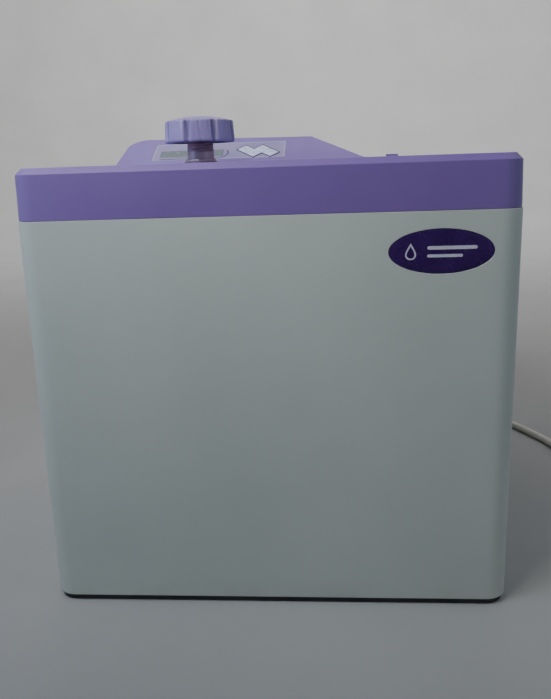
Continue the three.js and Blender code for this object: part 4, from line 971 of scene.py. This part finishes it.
def perforated(x0, x1, y0, y1, low, high, pitch, radius):
    """A thin floor with a round hole in each square cell."""
    columns, rows = round((x1 - x0) / pitch), round((y1 - y0) / pitch)
    dx, dy = (x1 - x0) / columns, (y1 - y0) / rows
    vertices, faces = [], []
    for i in range(columns):
        for j in range(rows):
            cx, cy = x0 + (i + 0.5) * dx, y0 + (j + 0.5) * dy
            start = len(vertices)
            rim = [(radius * math.cos(TAU * k / 8), radius * math.sin(TAU * k / 8)) for k in range(8)]
            cell = [(1, 0), (1, 1), (0, 1), (-1, 1), (-1, 0), (-1, -1), (0, -1), (1, -1)]
            for h in (low, high):
                vertices += [Vector((cx + a, cy + b, h)) for a, b in rim]
                vertices += [Vector((cx + a * dx / 2, cy + b * dy / 2, h)) for a, b in cell]
            for k in range(8):
                n = (k + 1) % 8
                faces.append([start + k, start + n, start + 8 + n, start + 8 + k])
                faces.append([start + 16 + k, start + 24 + k, start + 24 + n, start + 16 + n])
                faces.append([start + k, start + 16 + k, start + 16 + n, start + n])
    return vertices, faces


def make_tray(node):
    low, high = span(node)
    wall, floor, rim = 1.5, 1.5, 9
    outline = rounded(low.x, high.x, low.y, high.y, rim)
    inside = rounded(low.x + wall, high.x - wall, low.y + wall, high.y - wall, 7.5)
    walls = frame_of(outline, inside, low.z, high.z)
    inner = (low.x + rim, high.x - rim, low.y + rim, high.y - rim)
    base = perforated(*inner, low.z + 0.2, low.z + floor, 8, 2.3)
    border = frame_of(rounded(low.x + 0.5, high.x - 0.5, low.y + 0.5, high.y - 0.5, 8.5),
                      rounded(*inner, 0.01), low.z + 0.1, low.z + floor)
    standing_for(node, f"{node}_pressing", merged(walls, base, border), crease=30)


def make_chamber():
    z = middle("chamber_vessel").z
    low, high = span("chamber_vessel")
    outer = (high.x - low.x) / 2
    wall = 2.5
    bore = outer - wall
    back = high.y - 8
    shell = [(bore, low.y), (outer, low.y), (outer, back - 20), (outer - 5, back - 9), (114, back - 3),
             (100, back), (60, high.y - 3), (0, high.y), (0, high.y - wall), (60, high.y - 3 - wall),
             (99, back - wall), (bore - 8, back - 6), (bore - 2, back - 14), (bore, back - 21.5),
             (bore, low.y)]
    standing_for("chamber_vessel", "vessel_shell", along_y(lathe(shell, 128), 0, 0, z), crease=40)
    for node, name in (("band_heater", "heater_band"), ("insulation_jacket", "felt_jacket")):
        low, high = span(node)
        radius = (high.x - low.x) / 2
        inner = outer + (0.3 if node == "band_heater" else 3.4)
        standing_for(node, name, along_y(ring(inner, radius, low.y, high.y, 0.4, 128), 0, 0, z), crease=40)
    eased("chamber_flange", 0.6)
    for node in ("chamber_cradle", "tray_rack"):
        eased(node, 0.3)
    make_tray("tray_lower")
    make_tray("tray_upper")


def make_services():
    sizes = {"water_tank": 1.4, "transformer": 0.8, "main_board": 0.3, "water_pump": 1.2,
             "valve_manifold": 0.8, "fan_frame": 0.6, "fan_rotor": 0.4}
    for node, size in sizes.items():
        eased(node, size)
    low, high = span("condenser_coil")
    centre = (low + high) / 2
    turns, tube, steps = 6, 4.5, 36
    radius = (high.x - low.x) / 2 - tube
    rise = (high.y - low.y - 2 * tube) / (steps * turns)
    line = [Vector((centre.x + radius * math.cos(TAU * k / steps), low.y + tube + rise * k,
                    centre.z + radius * math.sin(TAU * k / steps))) for k in range(steps * turns + 1)]
    standing_for("condenser_coil", "condenser_tube", sweep(line, [tube] * len(line), 16), crease=60)


make_chamber()
make_services()


# ---- stage ----------------------------------------------

def make_stage():
    """A wide pale bowl: level in the middle and curving up all round, far behind any camera place."""
    flat, bend, wall_top = 3.4, 1.6, 5.2
    rows = [(0.0, 0.0), (1.0, 0.0), (flat, 0.0)]
    rows += [(flat + bend * math.sin(a), bend * (1 - math.cos(a))) for a in
             (math.pi / 2 * k / 16 for k in range(1, 17))]
    rows.append((flat + bend, wall_top))
    vertices, faces = lathe(rows, 96)
    data = bpy.data.meshes.new("studio_bowl")
    data.from_pydata([tuple(v) for v in vertices], [], faces)
    data.polygons.foreach_set("use_smooth", [True] * len(data.polygons))
    bowl = bpy.data.objects.new("studio_bowl", data)
    bpy.context.scene.collection.objects.link(bowl)
    data.materials.append(textured("studio paper", (0.38, 0.378, 0.38), (0.41, 0.408, 0.41), (0.8, 0.9),
                                   patch=3, grain=300, bump=0.05, depth=0.1))


def area_light(name, place, target, size, power, color, spread=180):
    data = bpy.data.lights.new(name, "AREA")
    data.shape = "RECTANGLE"
    data.size, data.size_y = size
    data.energy = power
    data.color = color
    data.spread = math.radians(spread)
    light = bpy.data.objects.new(name, data)
    bpy.context.scene.collection.objects.link(light)
    aim = (Vector(target) - Vector(place)).to_track_quat("-Z", "Y").to_matrix().to_4x4()
    light.matrix_world = Matrix.Translation(place) @ aim
    light.visible_camera = False


def make_lights():
    """A soft key close above the front, a cooler one from the left, and even light on the paper."""
    area_light("key", (-0.34, -0.62, 1.04), (0, 0.1, 0.52), (0.5, 0.4), 3.1, (1.0, 0.985, 0.95), 112)
    area_light("cool", (-0.80, -0.60, 0.74), (-0.1, -0.2, 0.42), (0.4, 0.4), 0.85, (0.30, 0.62, 1.0), 112)
    area_light("cool_right", (0.78, -0.62, 0.8), (0.15, -0.2, 0.42), (0.4, 0.4), 0.42, (0.5, 0.78, 1.0), 112)
    for side, power in ((90, 178), (0, 60), (180, 76), (270, 8)):
        toward = Vector((math.cos(math.radians(side)), math.sin(math.radians(side)), 0))
        area_light(f"paper_{side}", toward * 2.7 + Vector((0, 0, 3.4)), toward * 5 + Vector((0, 0, 1.0)),
                   (3.0, 1.0), power, (1.0, 0.99, 0.98))
    world = bpy.data.worlds.new("studio air")
    world.use_nodes = True
    air = world.node_tree.nodes["Background"]
    air.inputs["Color"].default_value = (0.9, 0.94, 1.0, 1.0)
    air.inputs["Strength"].default_value = 0.06
    bpy.context.scene.world = world


make_stage()
make_lights()
